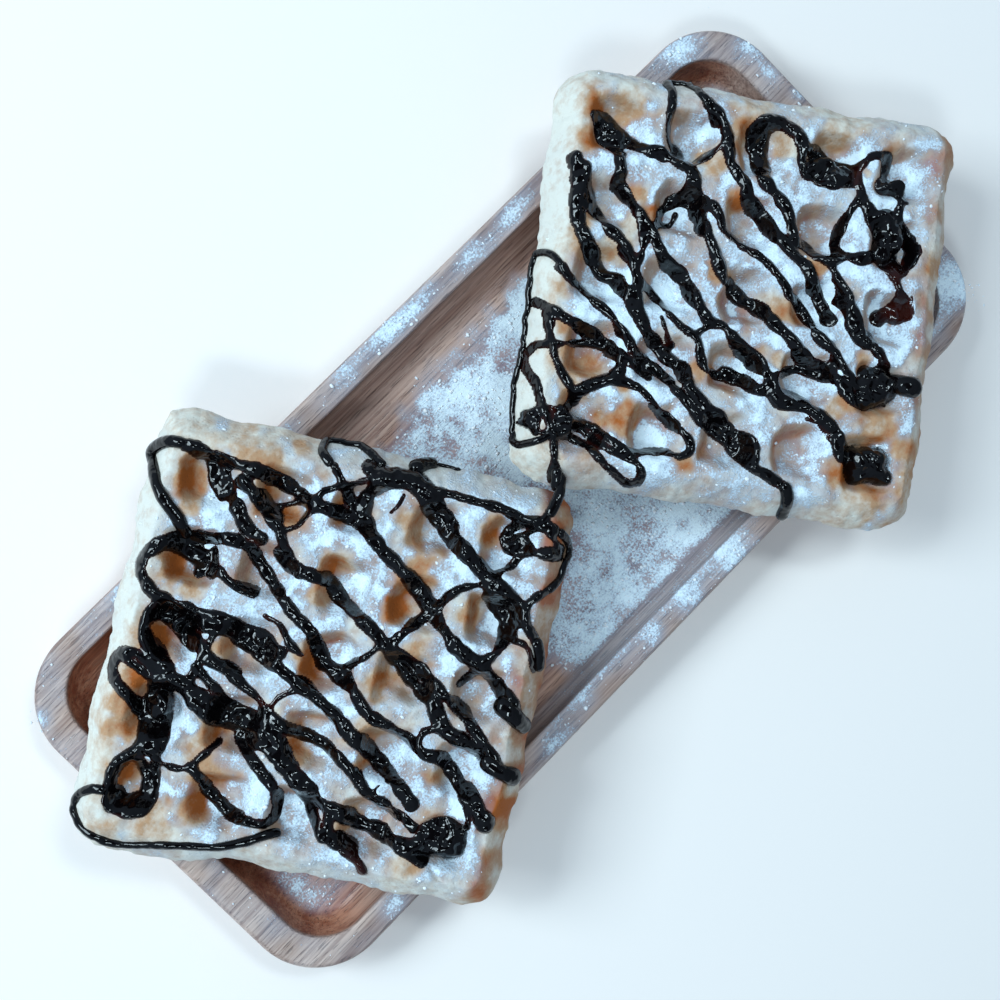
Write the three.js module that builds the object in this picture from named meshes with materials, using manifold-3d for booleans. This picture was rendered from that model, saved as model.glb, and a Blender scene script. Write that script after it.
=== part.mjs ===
// Two square waffles under zigzag chocolate sauce, lying side by side across a long wooden tray.
// Millimetres, +Z up. The origin is the middle of the tray's underside and +X runs along the tray.
import * as THREE from "three";
import { mergeVertices } from "three/addons/utils/BufferGeometryUtils.js";
import Module from "manifold-3d";

const wasm = await Module();
wasm.setup();

// Tray: one block of wood, milled out to a shallow trough with coved walls
const TRAY_LENGTH = 300;
const TRAY_WIDTH = 129;
const TRAY_HEIGHT = 18;
const TRAY_CORNER = 23;
const TRAY_FLOOR = 7;
const RIM_WIDTH = 7.3;
const RIM_EXTRA_AT_ENDS = 1.8;
const COVE_REACH = 7;
const FOOT_CHAMFER = 2.4;
const RIM_ROUND = 1.8;
const ARRIS_ROUND = 0.8;
const CORNER_STEPS = 6;
const SLACK = 0.001; // takes up the rounding of 32-bit numbers when radii are compared

// Waffle: both faces pressed alike, with sides that slope out to a seam at half the thickness
const REST_GAP = 0.3;
const THICKNESS = 22;
const SEAM_HALF = 61.5;
const SHOULDER_HALF = 58.4;
const FACE_HALF = 54.2;
const FACE_DROP = 0.9;
const SHOULDER_DROP = 4.6;
const SEAM_CORNER = 9;
const FACE_CORNER = 6;
const EDGE_WAVE = 0.5;
const EDGE_WAVE_LENGTH = 29;

// Pockets: five each way, rounded squares with sloping walls
const POCKETS = 5;
const PITCH = 21.5;
const MOUTH_HALF = 8.6;
const FLOOR_HALF = 3.9;
const POCKET_DEPTH = 6.6;
const POCKET_UNEVEN = 0.13;
const CRUST_SWELL = 0.55;

// Sauce: strands and pools that lie on the crust and are stuck to it
const STRAND_STEP = 7;
const STRAND_PROUD = 1.5;
const STRAND_SUNK = 1.1;
const STRAND_BASE_HALF = 2.3;
const STRAND_SECTION = [
  [0, STRAND_PROUD],
  [STRAND_BASE_HALF, -STRAND_SUNK],
  [-STRAND_BASE_HALF, -STRAND_SUNK],
];
const POOL_RINGS = 5;
const POOL_SECTORS = 10;

// Each waffle lies in its own frame: u and v run along its sides, from its middle.
// A strand is a list of the (u, v) points where it bends, and a pool is its middle and half sizes.
const LEFT_WAFFLE = {
  name: "waffle_left",
  middle: [-74.6, 5.4],
  turn: -57.6,
  crustPhase: 0.6,
  bulge: { u: -42, width: 20, reach: 3.6 },
  strands: [
    [[-48, 30], [-56, 37], [-59.5, 47], [-52, 51.5], [-40, 47], [-28, 48], [-12, 41.5], [3, 36],
      [18, 24], [28, 14], [38, 8], [51, -3], [58.5, -7]],
    [[9, 54], [15, 50], [23, 42], [39, 31], [48, 24], [55, 17], [58, 9]],
    [[13, 54.5], [29, 53], [44, 51], [55, 50], [58, 46], [53, 42.5], [42, 42.5]],
    [[-45, 26], [-33, 27.5], [-25, 23], [-13, 11], [-4, 3], [4, -2], [13, -11], [31, -19],
      [41, -24], [49, -34], [52.5, -38]],
    [[-47, 25], [-56, 17], [-49, 8], [-37, 3], [-21, 0], [-7, -8], [5, -14], [21, -27], [33, -39]],
    [[-40, 45], [-36, 39], [-23, 34], [-16, 24.5], [-5, 22], [13, 8.5], [26, -4], [34, -11],
      [50, -18], [59, -21.5]],
    [[-41, -14], [-23, -20], [-12, -27], [0, -36], [16, -41], [30, -46], [41, -48]],
    [[-35, -1], [-22, -12], [-14, -18], [-2, -21], [9, -26], [18, -33], [33, -41]],
    [[-50, 6], [-52.5, 0], [-47, -8], [-41, -16], [-43, -28], [-50.5, -38], [-50, -48],
      [-43, -50], [-41, -40]],
    [[-52, -48], [-58.5, -50], [-57.5, -57], [-47, -61.5], [-27, -58], [-11, -54], [-3, -49]],
    [[2, -38], [7, -46], [15, -50], [21, -55]],
  ],
  pools: [
    { at: [40, -42], half: [10, 6.5, 5], top: 0.9 },
    { at: [12, 53], half: [5.5, 4, 2], top: 1.3 },
  ],
};
const RIGHT_WAFFLE = {
  name: "waffle_right",
  middle: [84.2, -5.2],
  turn: -52.6,
  crustPhase: 2.3,
  bulge: { u: 38, width: 16, reach: 0.8 },
  strands: [
    [[-50, 46], [-44, 38], [-33, 39.5], [-20, 34], [-16, 24], [-7, 9], [2, 0], [12, -7.5],
      [20, -15], [31, -18], [40, -26]],
    [[-54.5, 33], [-51, 25], [-38, 12], [-32, 0], [-28, -11], [-20, -19], [-11, -27], [-1, -34],
      [8, -42]],
    [[-52.5, 25], [-51, 15], [-44, 4], [-36, -2], [-30.5, -9]],
    [[-60, 1], [-56, 4], [-46, -5], [-35, -13], [-28, -22], [-16, -29], [-6, -38], [5, -46],
      [17, -52], [20.5, -57], [20, -61]],
    [[-41, 31], [-38, 24], [-28, 13], [-19, 3], [-9, -8], [0, -13], [11, -22], [22, -29],
      [33, -35], [42, -43]],
    [[-31, 2], [-20, -7], [-11, -14], [-5, -23], [9, -26], [14, -27]],
    [[-24, 59], [-15, 53], [-9, 44], [-4, 34], [2, 24], [13, 16], [20, 9], [27, 0], [34, -12]],
    [[20, 44], [10, 51], [2, 53.5], [-4, 46], [0, 36], [10, 27], [17, 16], [27, 15], [38, 20]],
    [[27, 41], [35, 48], [36, 40], [45, 35], [44, 28], [49, 22], [44, 13]],
    [[25, 11], [34, 1], [43, -9], [45, -19], [59, -20]],
    [[-12, 24], [-3, 15], [8, 9], [17, 1], [25, -9], [37, -19]],
    [[-51, -44], [-41, -35], [-33, -27], [-22, -31], [-12, -40], [-9, -46], [-21, -48.5],
      [-35, -46], [-47, -42]],
  ],
  pools: [
    { at: [44.5, -43], half: [6, 4.8, 2.4], top: 1.6 },
    { at: [43, -22], half: [6.5, 5.8, 2.6], top: 1.6 },
    { at: [20, 39], half: [7.5, 3, 2.2], top: 1.3 },
    { at: [39, 37], half: [6, 3, 2.2], top: 1.2 },
  ],
};

const clamp = THREE.MathUtils.clamp;
const lerp = THREE.MathUtils.lerp;

// The middle of the pocket nearest to a place along one side.
function nearestPocket(s) {
  const outermost = (POCKETS - 1) / 2;
  return clamp(Math.round(s / PITCH), -outermost, outermost);
}

// How deep the pocket lies below the ribs at (u, v): a rounded square with eased walls.
function pocketDepth(u, v, phase) {
  const column = nearestPocket(u);
  const row = nearestPocket(v);
  const across = (u - column * PITCH) ** 4 + (v - row * PITCH) ** 4;
  const wall = clamp((MOUTH_HALF - across ** 0.25) / (MOUTH_HALF - FLOOR_HALF), 0, 1);
  const eased = wall * wall * (3 - 2 * wall);
  return eased * POCKET_DEPTH * (1 + POCKET_UNEVEN * Math.sin(3.1 * column + 1.7 * row + phase));
}

// The upper crust's height above the waffle's underside, out over the sloping sides too.
function crustHeight(u, v, phase) {
  const reach = Math.max(Math.abs(u), Math.abs(v));
  if (reach > SHOULDER_HALF) {
    const down = clamp((reach - SHOULDER_HALF) / (SEAM_HALF - SHOULDER_HALF), 0, 1);
    return lerp(THICKNESS - SHOULDER_DROP, THICKNESS / 2, down);
  }
  if (reach > FACE_HALF) {
    const down = (reach - FACE_HALF) / (SHOULDER_HALF - FACE_HALF);
    return THICKNESS - lerp(FACE_DROP, SHOULDER_DROP, down);
  }
  const swell = CRUST_SWELL * Math.sin(u / 19 + phase) * Math.sin(v / 23 + 2 * phase);
  return THICKNESS + swell - pocketDepth(u, v, phase);
}

// Grid lines across a face: the mouth and the floor of each pocket, and the face's own edges.
function faceLines() {
  const lines = [-FACE_HALF];
  for (let pocket = 0; pocket < POCKETS; pocket++) {
    const middle = (pocket - (POCKETS - 1) / 2) * PITCH;
    lines.push(middle - MOUTH_HALF, middle - FLOOR_HALF, middle + FLOOR_HALF, middle + MOUTH_HALF);
  }
  lines.push(FACE_HALF);
  return lines;
}

// Pulls a point of a square in to a rounded corner: the corner's square becomes a quarter disc.
function roundedCorner(x, y, half, radius) {
  const straight = half - radius;
  const overX = Math.max(Math.abs(x) - straight, 0);
  const overY = Math.max(Math.abs(y) - straight, 0);
  if (overX === 0 || overY === 0) return [x, y];
  const pull = Math.max(overX, overY) / Math.hypot(overX, overY);
  return [
    Math.sign(x) * (straight + overX * pull),
    Math.sign(y) * (straight + overY * pull),
  ];
}

// The uneven outline: a slow wave along all four sides, and a baked-out lobe on the near one.
function baked(u, v, waffle) {
  const { bulge, crustPhase } = waffle;
  const turns = (2 * Math.PI) / EDGE_WAVE_LENGTH;
  const outU = (u / SEAM_HALF) ** 3 * EDGE_WAVE * Math.sin(v * turns + crustPhase);
  const outV = (v / SEAM_HALF) ** 3 * EDGE_WAVE * Math.sin(u * turns + 2 * crustPhase);
  const lobe = bulge.reach * Math.exp(-(((u - bulge.u) / bulge.width) ** 2));
  return [u + outU, v + outV - lobe * clamp(-v / SEAM_HALF, 0, 1) ** 4];
}

// Side levels from the underside up: height and half the side's length there.
const LEVELS = [
  [FACE_DROP, FACE_HALF, FACE_CORNER],
  [SHOULDER_DROP, SHOULDER_HALF, SEAM_CORNER],
  [THICKNESS / 2, SEAM_HALF, SEAM_CORNER],
  [THICKNESS - SHOULDER_DROP, SHOULDER_HALF, SEAM_CORNER],
  [THICKNESS - FACE_DROP, FACE_HALF, FACE_CORNER],
];

// A waffle's body: a box with a grid on its faces, pressed into shape point by point.
function waffleBody(waffle) {
  const lines = faceLines();
  const spans = lines.length - 1;
  const top = LEVELS.length - 1;
  const box = new THREE.BoxGeometry(spans, spans, top, spans, spans, top);
  box.deleteAttribute("normal");
  box.deleteAttribute("uv");
  const points = box.getAttribute("position");
  for (let n = 0; n < points.count; n++) {
    const column = Math.round(points.getX(n) + spans / 2);
    const row = Math.round(points.getY(n) + spans / 2);
    const level = Math.round(points.getZ(n) + top / 2);
    const [sideHeight, half, radius] = LEVELS[level];
    const scale = half / FACE_HALF;
    const [u, v] = roundedCorner(lines[column] * scale, lines[row] * scale, half, radius);
    const onSide = column === 0 || row === 0 || column === spans || row === spans;
    let height = sideHeight;
    if (!onSide && level === top) height = crustHeight(u, v, waffle.crustPhase);
    if (!onSide && level === 0) height = pocketDepth(u, v, waffle.crustPhase);
    points.setXYZ(n, ...baked(u, v, waffle), height);
  }
  return box;
}

// A strand of sauce: a straight rod bent along the crust, up and down too, with its base sunk in.
function strand(bends, waffle) {
  const route = new THREE.CatmullRomCurve3(bends.map(([u, v]) => new THREE.Vector3(u, v, 0)));
  const steps = Math.ceil(route.getLength() / STRAND_STEP);
  const places = route.getSpacedPoints(steps);
  const rod = new THREE.CylinderGeometry(1, 1, steps, STRAND_SECTION.length, steps);
  rod.deleteAttribute("normal");
  rod.deleteAttribute("uv");
  const points = rod.getAttribute("position");
  const sector = (2 * Math.PI) / STRAND_SECTION.length;
  for (let n = 0; n < points.count; n++) {
    const step = Math.round(points.getY(n) + steps / 2);
    const place = places[step];
    const along = route.getTangentAt(step / steps);
    const onAxis = Math.hypot(points.getX(n), points.getZ(n)) < 0.5;
    const corner = Math.round(Math.atan2(points.getX(n), points.getZ(n)) / sector);
    const [side, up] = onAxis ? [0, 0] : STRAND_SECTION.at(corner % STRAND_SECTION.length);
    const u = place.x + along.y * side;
    const v = place.y - along.x * side;
    const height = crustHeight(place.x, place.y, waffle.crustPhase) + up;
    points.setXYZ(n, ...baked(u, v, waffle), height);
  }
  return rod;
}

// A pool or drop of sauce: a flattened ball whose top stands a little above the ribs.
function pool({ at, half, top }) {
  const ball = new THREE.SphereGeometry(1, POOL_SECTORS, POOL_RINGS);
  ball.rotateX(Math.PI / 2);
  ball.scale(...half);
  ball.translate(at[0], at[1], THICKNESS + top - half[2]);
  return ball;
}

// A closed geometry as a solid that can be joined.
function solidOf(geometry) {
  const bare = geometry.clone();
  bare.deleteAttribute("normal");
  bare.deleteAttribute("uv");
  const merged = mergeVertices(bare, 1e-4);
  return new wasm.Manifold(
    new wasm.Mesh({
      numProp: 3,
      vertProperties: new Float32Array(merged.getAttribute("position").array),
      triVerts: new Uint32Array(merged.index.array),
    }),
  );
}

// The largest body of a solid: hollows that the sauce seals are filled and loose scraps dropped.
function largestBody(solid) {
  const bodies = solid.decompose();
  return bodies.reduce((most, body) => (body.volume() > most.volume() ? body : most));
}

function geometryOf(solid) {
  const { vertProperties, triVerts } = solid.getMesh();
  const geometry = new THREE.BufferGeometry();
  geometry.setAttribute("position", new THREE.BufferAttribute(vertProperties, 3));
  geometry.setIndex(new THREE.BufferAttribute(triVerts, 1));
  geometry.computeVertexNormals();
  return geometry;
}

function crustMaterial() {
  return new THREE.MeshStandardMaterial({ color: "#d9b789", roughness: 0.75, metalness: 0 });
}

function woodMaterial() {
  return new THREE.MeshStandardMaterial({ color: "#8a6a55", roughness: 0.55, metalness: 0 });
}

// A waffle with its sauce fused on, set down on the tray's rim.
function waffleWithSauce(waffle) {
  let solid = solidOf(waffleBody(waffle));
  for (const bends of waffle.strands) solid = solid.add(solidOf(strand(bends, waffle)));
  for (const spill of waffle.pools) solid = solid.add(solidOf(pool(spill)));
  const mesh = new THREE.Mesh(geometryOf(largestBody(solid)), crustMaterial());
  mesh.name = waffle.name;
  mesh.position.set(waffle.middle[0], waffle.middle[1], TRAY_HEIGHT + REST_GAP);
  mesh.rotation.z = THREE.MathUtils.degToRad(waffle.turn);
  return mesh;
}

// The tray's section from the middle of the underside, round the rim, to the middle of the floor.
// Each point is how far it lies in from the outer wall, and its height.
function trayProfile() {
  const profile = [
    [FOOT_CHAMFER, 0],
    [FOOT_CHAMFER * 0.25, FOOT_CHAMFER * 0.3],
    [0, FOOT_CHAMFER],
    [0, TRAY_HEIGHT - RIM_ROUND],
    [RIM_ROUND * 0.3, TRAY_HEIGHT - RIM_ROUND * 0.3],
    [RIM_ROUND, TRAY_HEIGHT],
    [RIM_WIDTH, TRAY_HEIGHT],
  ];
  const coveTop = TRAY_HEIGHT - ARRIS_ROUND;
  const coveSteps = 4;
  for (let step = 0; step <= coveSteps; step++) {
    const angle = (step / coveSteps) * (Math.PI / 2);
    const across = 1 - Math.cos(angle);
    const down = Math.sin(angle);
    profile.push([
      RIM_WIDTH + ARRIS_ROUND + across * COVE_REACH,
      lerp(coveTop, TRAY_FLOOR, down),
    ]);
  }
  return profile;
}

// A turned dish of the corner's radius, whose four quarters are pulled out to the tray's corners.
// Its facets touch the true circle from outside, so that the tray's straight walls are exact.
function tray() {
  const sectors = 4 * CORNER_STEPS;
  const facet = 1 / Math.cos(Math.PI / sectors);
  const rings = trayProfile().map(([inset, z]) => {
    return new THREE.Vector2((TRAY_CORNER - inset) * facet, z);
  });
  const profile = [new THREE.Vector2(0, 0), ...rings, new THREE.Vector2(0, TRAY_FLOOR)];
  const dish = new THREE.LatheGeometry(profile, sectors, Math.PI / sectors, 2 * Math.PI);
  dish.rotateX(Math.PI / 2);
  const points = dish.getAttribute("position");
  for (let n = 0; n < points.count; n++) {
    const x = points.getX(n);
    const y = points.getY(n);
    const radius = Math.hypot(x, y);
    if (radius < SLACK) {
      points.setXYZ(n, 0, 0, points.getZ(n));
      continue;
    }
    const inRim = radius < (TRAY_CORNER - RIM_WIDTH) * facet + SLACK;
    const inTrough = inRim && points.getZ(n) > FOOT_CHAMFER;
    const reachX = TRAY_LENGTH / 2 - TRAY_CORNER - (inTrough ? RIM_EXTRA_AT_ENDS : 0);
    const reachY = TRAY_WIDTH / 2 - TRAY_CORNER;
    points.setX(n, x + Math.sign(x) * reachX);
    points.setY(n, y + Math.sign(y) * reachY);
  }
  const mesh = new THREE.Mesh(geometryOf(largestBody(solidOf(dish))), woodMaterial());
  mesh.name = "tray";
  return mesh;
}

const serving = new THREE.Group();
serving.add(tray(), waffleWithSauce(LEFT_WAFFLE), waffleWithSauce(RIGHT_WAFFLE));

export default serving;
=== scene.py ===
# Two square waffles with chocolate sauce and icing sugar, side by side on a long wooden tray.
# Shapes are worked out in millimetres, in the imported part's frame, and put into the meshes in
# metres.
import math

import bmesh
import bpy
import numpy as np
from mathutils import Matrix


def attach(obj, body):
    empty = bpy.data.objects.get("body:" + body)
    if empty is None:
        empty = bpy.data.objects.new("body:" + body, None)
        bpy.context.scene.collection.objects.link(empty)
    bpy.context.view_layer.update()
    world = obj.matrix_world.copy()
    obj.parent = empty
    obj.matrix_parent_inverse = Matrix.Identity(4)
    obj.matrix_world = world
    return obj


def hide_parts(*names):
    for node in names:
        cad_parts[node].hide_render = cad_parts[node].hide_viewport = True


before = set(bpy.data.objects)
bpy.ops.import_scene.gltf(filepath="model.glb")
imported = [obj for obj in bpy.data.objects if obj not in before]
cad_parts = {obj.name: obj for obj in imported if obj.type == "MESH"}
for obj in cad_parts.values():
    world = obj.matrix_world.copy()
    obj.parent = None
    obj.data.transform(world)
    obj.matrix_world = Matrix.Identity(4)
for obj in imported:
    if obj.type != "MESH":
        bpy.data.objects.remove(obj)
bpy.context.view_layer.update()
MM = 0.001

# ---------------------------------------------------------------------------------------------
# The view: a camera close over the tray that looks nearly straight down, cool soft light from
# beyond the tray's far long side and from three ceiling lamps, and a plain pale floor. The eye and
# the floor are in millimetres, the eye's turn in degrees, and the lights in metres.
# ---------------------------------------------------------------------------------------------
EYE = (-35.4, 25.0, 377.3)
EYE_TURN = (0.66, -5.82, -45.07)
LENS = 43.1
CLIP_START = 10
FLOOR_HALF = 2500
FLOOR_DROP = 0.2
FLOOR_COLOUR = "#fbf3ee"
WINDOW_FROM = (-0.45, 0.62, 0.70)
WINDOW_AWAY = 1.1
WINDOW_SIZE = (0.5, 0.32)
WINDOW_WATTS = 6.6
LAMPS_AT = [(-0.35, 0.75, 1.1), (0.5, 0.1, 1.1), (-0.6, -0.2, 1.0)]
LAMP_SIZE = (0.26, 0.16)
LAMP_WATTS = 3.3
LIGHT_COLOUR = "#dff5ff"
ROOM_COLOUR = "#c4e2ff"
WALLS_STRENGTH = 0.42
CEILING_STRENGTH = 0.04
CEILING_EDGE = (0.82, 0.93)
SIDES = (-0.3, 0.8)
FAR_SIDE, NEAR_SIDE = 0.62, 1.25


def linear(code):
    """An sRGB hex colour as linear red, green, blue and alpha 1."""
    levels = [int(code[n:n + 2], 16) / 255 for n in (1, 3, 5)]
    return [c / 12.92 if c <= 0.04045 else ((c + 0.055) / 1.055) ** 2.4 for c in levels] + [1.0]


def add(tree, kind, inputs=None, **settings):
    """Adds a shader node: settings are its properties, inputs its values or what feeds them."""
    made = tree.nodes.new("ShaderNode" + kind)
    for name, value in settings.items():
        setattr(made, name, value)
    for socket, value in (inputs or {}).items():
        if isinstance(value, bpy.types.NodeSocket):
            tree.links.new(value, made.inputs[socket])
        else:
            made.inputs[socket].default_value = value
    return made


def finish_of(name):
    """A new material, its emptied node tree and its output node."""
    material = bpy.data.materials.new(name)
    material.use_nodes = True
    material.node_tree.nodes.clear()
    return material, material.node_tree, add(material.node_tree, "OutputMaterial")


def mesh_piece(name, points, faces, material):
    """A smooth mesh object at the origin from points in millimetres and rows of corner numbers."""
    mesh = bpy.data.meshes.new(name)
    corners = np.asarray(faces, np.int32)
    starts = np.arange(0, corners.size, corners.shape[1], dtype=np.int32)
    mesh.vertices.add(len(points))
    mesh.vertices.foreach_set("co", (np.asarray(points, float) * MM).astype(np.float32).ravel())
    mesh.loops.add(corners.size)
    mesh.loops.foreach_set("vertex_index", corners.ravel())
    mesh.polygons.add(len(corners))
    mesh.polygons.foreach_set("loop_start", starts)
    mesh.update(calc_edges=True)
    mesh.polygons.foreach_set("use_smooth", np.ones(len(corners), bool))
    mesh.materials.append(material)
    piece = bpy.data.objects.new(name, mesh)
    bpy.context.scene.collection.objects.link(piece)
    return piece


camera = bpy.data.objects.new("camera", bpy.data.cameras.new("camera"))
camera.location = [c * MM for c in EYE]
camera.rotation_euler = [math.radians(a) for a in EYE_TURN]
camera.data.lens = LENS
camera.data.clip_start = CLIP_START * MM
bpy.context.scene.collection.objects.link(camera)
bpy.context.scene.camera = camera


def area_light(name, place, size, watts):
    """A rectangular light that shines at the origin."""
    light = bpy.data.objects.new(name, bpy.data.lights.new(name, "AREA"))
    light.data.shape = "RECTANGLE"
    light.data.size, light.data.size_y = size
    light.data.energy = watts
    light.data.color = linear(LIGHT_COLOUR)[:3]
    light.location = place
    light.rotation_euler = light.location.to_track_quat("Z", "Y").to_euler()
    bpy.context.scene.collection.objects.link(light)


# The window shapes the waffles, and the ceiling lamps add glints to the wet sauce.
window_way = np.array(WINDOW_FROM) / np.linalg.norm(WINDOW_FROM)
area_light("window", window_way * WINDOW_AWAY, WINDOW_SIZE, WINDOW_WATTS)
for number, place in enumerate(LAMPS_AT):
    area_light("lamp_%d" % number, place, LAMP_SIZE, LAMP_WATTS)

# The room is bright on the window's side and dimmer on the other. It is dark overhead, so the
# sauce stays black between its glints.
room = bpy.data.worlds.new("room")
room.use_nodes = True
glow = room.node_tree.nodes["Background"]
glow.inputs["Color"].default_value = linear(ROOM_COLOUR)
towards = add(room.node_tree, "TexCoord").outputs["Generated"]
height = add(room.node_tree, "SeparateXYZ", {0: towards}).outputs["Z"]
level = add(room.node_tree, "MapRange", {
    "Value": height, "From Min": CEILING_EDGE[0], "From Max": CEILING_EDGE[1],
    "To Min": WALLS_STRENGTH, "To Max": CEILING_STRENGTH})
aside = add(room.node_tree, "VectorMath", {0: towards, 1: WINDOW_FROM}, operation="DOT_PRODUCT")
nearer = add(room.node_tree, "MapRange", {
    "Value": aside.outputs["Value"], "From Min": SIDES[0], "From Max": SIDES[1],
    "To Min": FAR_SIDE, "To Max": NEAR_SIDE})
glowing = add(room.node_tree, "Math", {0: level.outputs[0], 1: nearer.outputs[0]},
              operation="MULTIPLY")
room.node_tree.links.new(glowing.outputs[0], glow.inputs["Strength"])
bpy.context.scene.world = room
bpy.context.scene.view_settings.view_transform = "Standard"

floor_paint, tree, out = finish_of("pale_floor")
shader = add(tree, "BsdfPrincipled", {"Base Color": linear(FLOOR_COLOUR), "Roughness": 0.9})
tree.links.new(shader.outputs["BSDF"], out.inputs["Surface"])
corners = [(x * FLOOR_HALF, y * FLOOR_HALF, -FLOOR_DROP)
           for x, y in ((-1, -1), (1, -1), (1, 1), (-1, 1))]
floor = mesh_piece("floor", corners, [(0, 1, 2, 3)], floor_paint)

# ---------------------------------------------------------------------------------------------
# The tray: one board of brown hardwood with its grain along the length, milled out to a shallow
# trough with coved walls and sanded round the rim. The rim is worn grey and dry, and a painted
# sheen lightens it and the coves that face the light, while the trough keeps its warm oiled
# colour. Icing sugar is sifted over both.
# ---------------------------------------------------------------------------------------------
TRAY_LENGTH = 300
TRAY_WIDTH = 129
TRAY_HEIGHT = 18
TRAY_CORNER = 23
TRAY_FLOOR = 7
RIM_WIDTH = 7.3
RIM_EXTRA_AT_ENDS = 1.8
COVE_REACH = 7
FOOT_ROUND = 2.4
RIM_ROUND = 1.8
ARRIS_ROUND = 0.8
RING_STEP = 1.3
FIRST_FLOOR_RING = 1.5
LONG_SIDE_POINTS = 190
SHORT_SIDE_POINTS = 62
CORNER_POINTS = 20
LATTICE = 61


def ripple(x, y, size, seed):
    """Smooth bumps from -1 to 1: random heights on a square lattice `size` apart, turned by a
    random angle and eased between the lattice points by the curve 6t^5 - 15t^4 + 10t^3."""
    draw = np.random.default_rng(seed)
    heights = draw.uniform(-1, 1, (LATTICE, LATTICE))
    turn = draw.uniform(0, math.pi)
    across = (x * math.cos(turn) + y * math.sin(turn)) / size + LATTICE / 2
    along = (y * math.cos(turn) - x * math.sin(turn)) / size + LATTICE / 2
    column, row = np.floor(across).astype(int), np.floor(along).astype(int)
    s, t = across - column, along - row
    s, t = s ** 3 * (s * (s * 6 - 15) + 10), t ** 3 * (t * (t * 6 - 15) + 10)
    corner = [heights[(column + a) % LATTICE, (row + b) % LATTICE]
              for a, b in ((0, 0), (1, 0), (0, 1), (1, 1))]
    near, far = corner[0] * (1 - s) + corner[1] * s, corner[2] * (1 - s) + corner[3] * s
    return near * (1 - t) + far * t


def ripples(x, y, seed, *layers):
    """Layers of those bumps added up, each as (how high, size, number added to the seed)."""
    return sum(high * ripple(x, y, size, seed + number) for high, size, number in layers)


def eased(value, low, high):
    """0 below low, 1 above high, and the smooth step 3t^2 - 2t^3 between."""
    t = np.clip((value - low) / (high - low), 0, 1)
    return t * t * (3 - 2 * t)


def patch(x, y, middle, half):
    """A soft round patch: 1 in its middle and 1/e at `half` away from it, along x and y."""
    return np.exp(-((x - middle[0]) / half[0]) ** 2 - ((y - middle[1]) / half[1]) ** 2)


def tray_profile():
    """The tray's section from the middle of the underside, round the rim, to the middle of the
    floor: how far each point lies in from the outer wall, its height, and the extra at the ends.
    Edges are quarter circles and the cove a quarter ellipse."""
    turn = np.linspace(0, math.pi / 2, 6)
    inner = RIM_WIDTH + ARRIS_ROUND + COVE_REACH
    half = TRAY_WIDTH / 2
    under = [(inset, 0, 0) for inset in np.arange(half, FOOT_ROUND + RING_STEP, -2 * RING_STEP)]
    foot = [(FOOT_ROUND * (1 - math.sin(a)), FOOT_ROUND * (1 - math.cos(a)), 0) for a in turn]
    wall = [(0, z, 0) for z in np.linspace(FOOT_ROUND, TRAY_HEIGHT - RIM_ROUND, 5)[1:-1]]
    edge = TRAY_HEIGHT - RIM_ROUND
    shoulder = [(RIM_ROUND * (1 - math.cos(a)), edge + RIM_ROUND * math.sin(a), 0) for a in turn]
    share = np.linspace(0, 1, 5)[1:]
    rim = [(RIM_ROUND + (RIM_WIDTH - RIM_ROUND) * s, TRAY_HEIGHT, RIM_EXTRA_AT_ENDS * s)
           for s in share]
    arris = [(RIM_WIDTH + ARRIS_ROUND * math.sin(a), TRAY_HEIGHT - ARRIS_ROUND * (1 - math.cos(a)),
              RIM_EXTRA_AT_ENDS) for a in turn[1:]]
    deep = TRAY_HEIGHT - ARRIS_ROUND - TRAY_FLOOR
    cove = [(inner - COVE_REACH * math.cos(a), TRAY_FLOOR + deep * (1 - math.sin(a)),
             RIM_EXTRA_AT_ENDS) for a in np.linspace(0, math.pi / 2, 12)[1:]]
    floor = [(inset, TRAY_FLOOR, RIM_EXTRA_AT_ENDS)
             for inset in np.arange(inner + FIRST_FLOOR_RING, half, RING_STEP)]
    last = [(half, TRAY_FLOOR, RIM_EXTRA_AT_ENDS)]
    return np.array(under + foot + wall + shoulder + rim + arris + cove + floor + last)


def tray_points():
    """The profile carried round the tray: each ring is a rectangle with quarter circles at its
    corners, the same number of points on each side, shrunk by the profile's inset."""
    inset, height, extra = (column[:, None] for column in tray_profile().T)
    half_x = TRAY_LENGTH / 2 - inset - extra
    half_y = TRAY_WIDTH / 2 - inset
    radius = np.maximum(TRAY_CORNER - inset, 0)
    x_parts, y_parts = [], []
    for quarter in range(4):
        start = quarter * math.pi / 2
        turn = start + np.linspace(0, math.pi / 2, CORNER_POINTS, endpoint=False)[None]
        side_x, side_y = ((1, 1), (-1, 1), (-1, -1), (1, -1))[quarter]
        x_parts.append(side_x * (half_x - radius) + radius * np.cos(turn))
        y_parts.append(side_y * (half_y - radius) + radius * np.sin(turn))
        count = (LONG_SIDE_POINTS, SHORT_SIDE_POINTS)[quarter % 2]
        along = np.linspace(-1, 1, count, endpoint=False)[None]
        if quarter % 2 == 0:
            x_parts.append(-side_x * along * (half_x - radius))
            y_parts.append(side_y * half_y + 0 * along)
        else:
            x_parts.append(side_x * half_x + 0 * along)
            y_parts.append(-side_y * along * (half_y - radius))
    x, y = np.concatenate(x_parts, 1), np.concatenate(y_parts, 1)
    return np.stack([x, y, height + 0 * x], -1)


def ring_faces(rings, around):
    """Four cornered faces between neighbouring rings that close on themselves."""
    ring, place = np.meshgrid(np.arange(rings - 1), np.arange(around), indexing="ij")
    following = (place + 1) % around
    faces = [ring * around + place, ring * around + following,
             (ring + 1) * around + following, (ring + 1) * around + place]
    return np.stack(faces, -1).reshape(-1, 4)


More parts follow.
